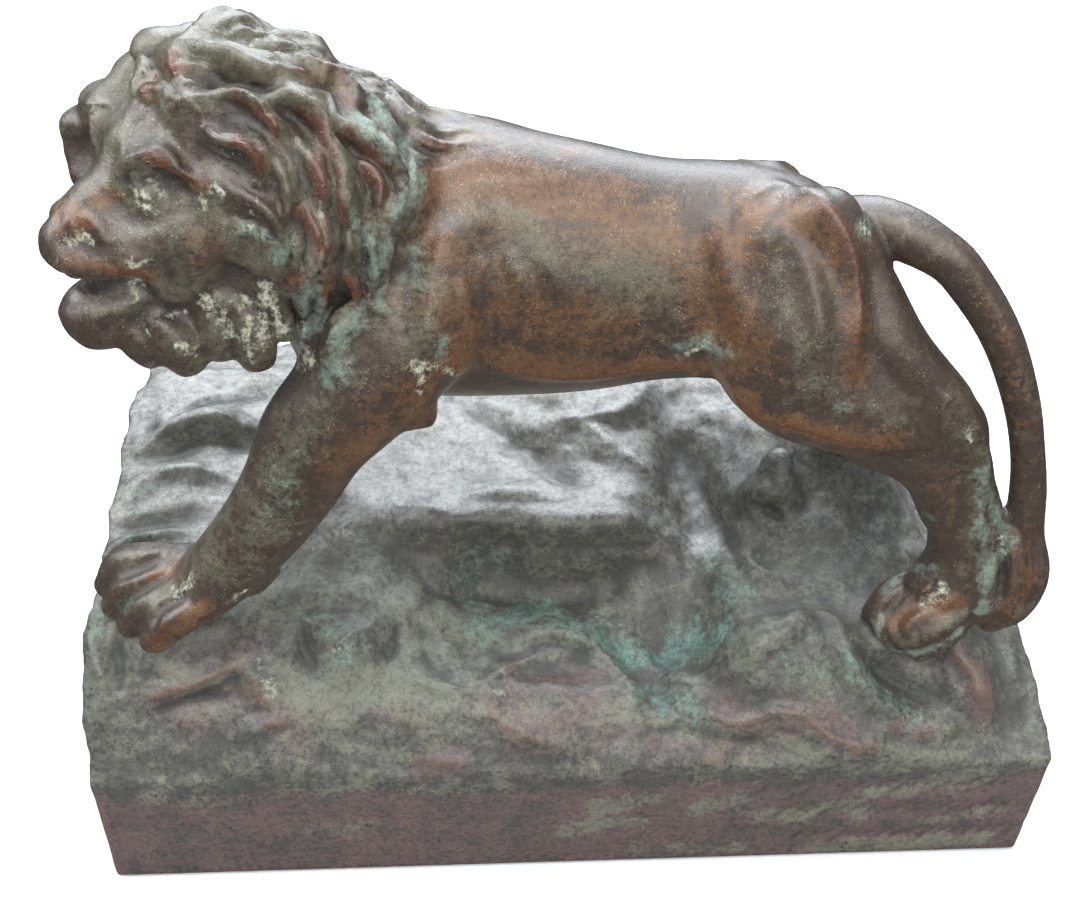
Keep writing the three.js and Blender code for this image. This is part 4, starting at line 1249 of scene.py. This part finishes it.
# Hollows are laid over with a dark colour: painted shade.
hollow_shade = step_up(patina, mixture([(given["Hollow"], 1.0), (broken, 0.9)]), 0.7, 1.3)
colour = laid(colour, hollow_shade, 0.7, given["Dust"])
green = step_up(patina, mixture([(given["Verdigris"], 0.9), (broken, 3.0)]), 1.8, 2.8)
colour = laid(colour, green, 0.75, given["Verdigris Colour"])
crusty = step_up(patina, mixture([(given["Crust"], 1.0), (fine, 2.4)]), 1.8, 2.5)
colour = laid(colour, crusty, 0.9, given["Crust Colour"])
speck = mixture([(step_up(patina, gritty, 0.62, 0.70), step_up(patina, mottled, 0.42, 0.62))])
colour = laid(colour, speck, given["Specks"], given["Crust Colour"])
PIT_COLOUR = (0.018, 0.014, 0.012, 1)
pitted = step_up(patina, mixture([(gritty, 0.45), (fine, 0.55)]), 0.53, 0.40)
colour = laid(colour, pitted, 0.4, PIT_COLOUR)

dull = sum_up(patina, "MAXIMUM", green, crusty)
matt = sum_up(patina, "MAXIMUM", dull, sum_up(patina, "MULTIPLY", hollow_shade, 0.7))
rough = mixture([(matt, 0.30), (broken, 0.25), (rubbed, -0.04), (clouded, 0.08), (given["Crest"], -0.08)])
rough = sum_up(patina, "ADD", rough, 0.18)
height = mixture([(broken, 0.6), (gritty, 0.16), (matt, 0.25)])
made = patina.nodes.new("NodeGroupOutput").inputs
for socket, value in (("Colour", colour), ("Roughness", rough), ("Height", height)):
    patina.links.new(value, made[socket])
print("the patina has", len(patina.nodes), "nodes")

# %% [markdown]
# ## Finishes
# Each casting gets a finish of its own that passes colours and the vertices' numbers into the
# group. The lion is brown with olive film and orange rust, the rock is slate and plum.

# %% Finishes
def bronze(name, piece, colours, specks, sky_sheen_and_ash, relief, metal, gloss):
    """Gives a piece a finish of worn bronze that reads its own numbers. The relief is in mm, and
    gloss is the index of refraction."""
    finish = bpy.data.materials.new(name)
    finish.use_nodes = True
    tree = finish.node_tree
    shader = tree.nodes["Principled BSDF"]
    layers = tree.nodes.new("ShaderNodeGroup")
    layers.node_tree = patina
    tree.links.new(new_node(tree, "TexCoord").outputs["Object"], layers.inputs["Place"])
    for title, value in zip(COLOURS, colours):
        layers.inputs[title].default_value = (*value, 1)
    for title in NOTED:
        read = new_node(tree, "Attribute", {"attribute_name": title.lower()})
        tree.links.new(read.outputs["Fac"], layers.inputs[title])
    layers.inputs["Specks"].default_value = specks
    layers.inputs["Sky Sheen And Ash"].default_value = sky_sheen_and_ash
    bump = new_node(tree, "Bump", Strength=0.7, Distance=relief * MM, Height=layers.outputs["Height"])
    tree.links.new(layers.outputs["Colour"], shader.inputs["Base Color"])
    tree.links.new(layers.outputs["Roughness"], shader.inputs["Roughness"])
    tree.links.new(bump.outputs["Normal"], shader.inputs["Normal"])
    shader.inputs["Metallic"].default_value = metal
    shader.inputs["IOR"].default_value = gloss
    piece.data.materials.clear()
    piece.data.materials.append(finish)
    for polygon in piece.data.polygons:
        polygon.use_smooth = True


DARK_BROWN, OLIVE_GREY = (0.072, 0.048, 0.034), (0.142, 0.132, 0.086)
RUST_ORANGE, RED_BROWN = (0.165, 0.076, 0.030), (0.115, 0.044, 0.026)
# The dark colour for the hollows is painted shade.
PAINTED_HOLLOW_SHADE, PALE_GREEN = (0.046, 0.038, 0.030), (0.22, 0.32, 0.25)
# The blue-grey for up-facing surfaces is painted sky sheen.
CREAM, PAINTED_SKY_SHEEN = (0.56, 0.56, 0.42), (0.13, 0.14, 0.15)
LION_COLOURS = (DARK_BROWN, OLIVE_GREY, RUST_ORANGE, RED_BROWN, PAINTED_HOLLOW_SHADE, PALE_GREEN, CREAM, PAINTED_SKY_SHEEN)
bronze("worn_lion_bronze", lion, LION_COLOURS,
       specks=0.55, sky_sheen_and_ash=0.4, relief=0.8, metal=0.25, gloss=1.75)

SLATE, GREY_GREEN = (0.086, 0.082, 0.074), (0.190, 0.196, 0.145)
PLUM_BROWN, GREY_BROWN = (0.150, 0.100, 0.094), (0.150, 0.100, 0.080)
# The dark colour for the hollows is painted shade.
ROCK_HOLLOW_SHADE, TEAL = (0.050, 0.054, 0.048), (0.16, 0.33, 0.27)
# The pale grey for up-facing surfaces is dust together with painted sky light.
LICHEN, ASH_AND_SKY_LIGHT = (0.40, 0.42, 0.30), (0.42, 0.41, 0.40)
ROCK_COLOURS = (SLATE, GREY_GREEN, PLUM_BROWN, GREY_BROWN, ROCK_HOLLOW_SHADE, TEAL, LICHEN, ASH_AND_SKY_LIGHT)
bronze("worn_rock_bronze", rock, ROCK_COLOURS,
       specks=0.5, sky_sheen_and_ash=0.8, relief=1.0, metal=0.1, gloss=1.45)
print("finishes", [m.name for m in bpy.data.materials])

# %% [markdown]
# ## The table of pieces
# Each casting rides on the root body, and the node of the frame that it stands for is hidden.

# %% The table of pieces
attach(lion, "root")
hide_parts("lion")
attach(rock, "root")
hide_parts("rock_base")
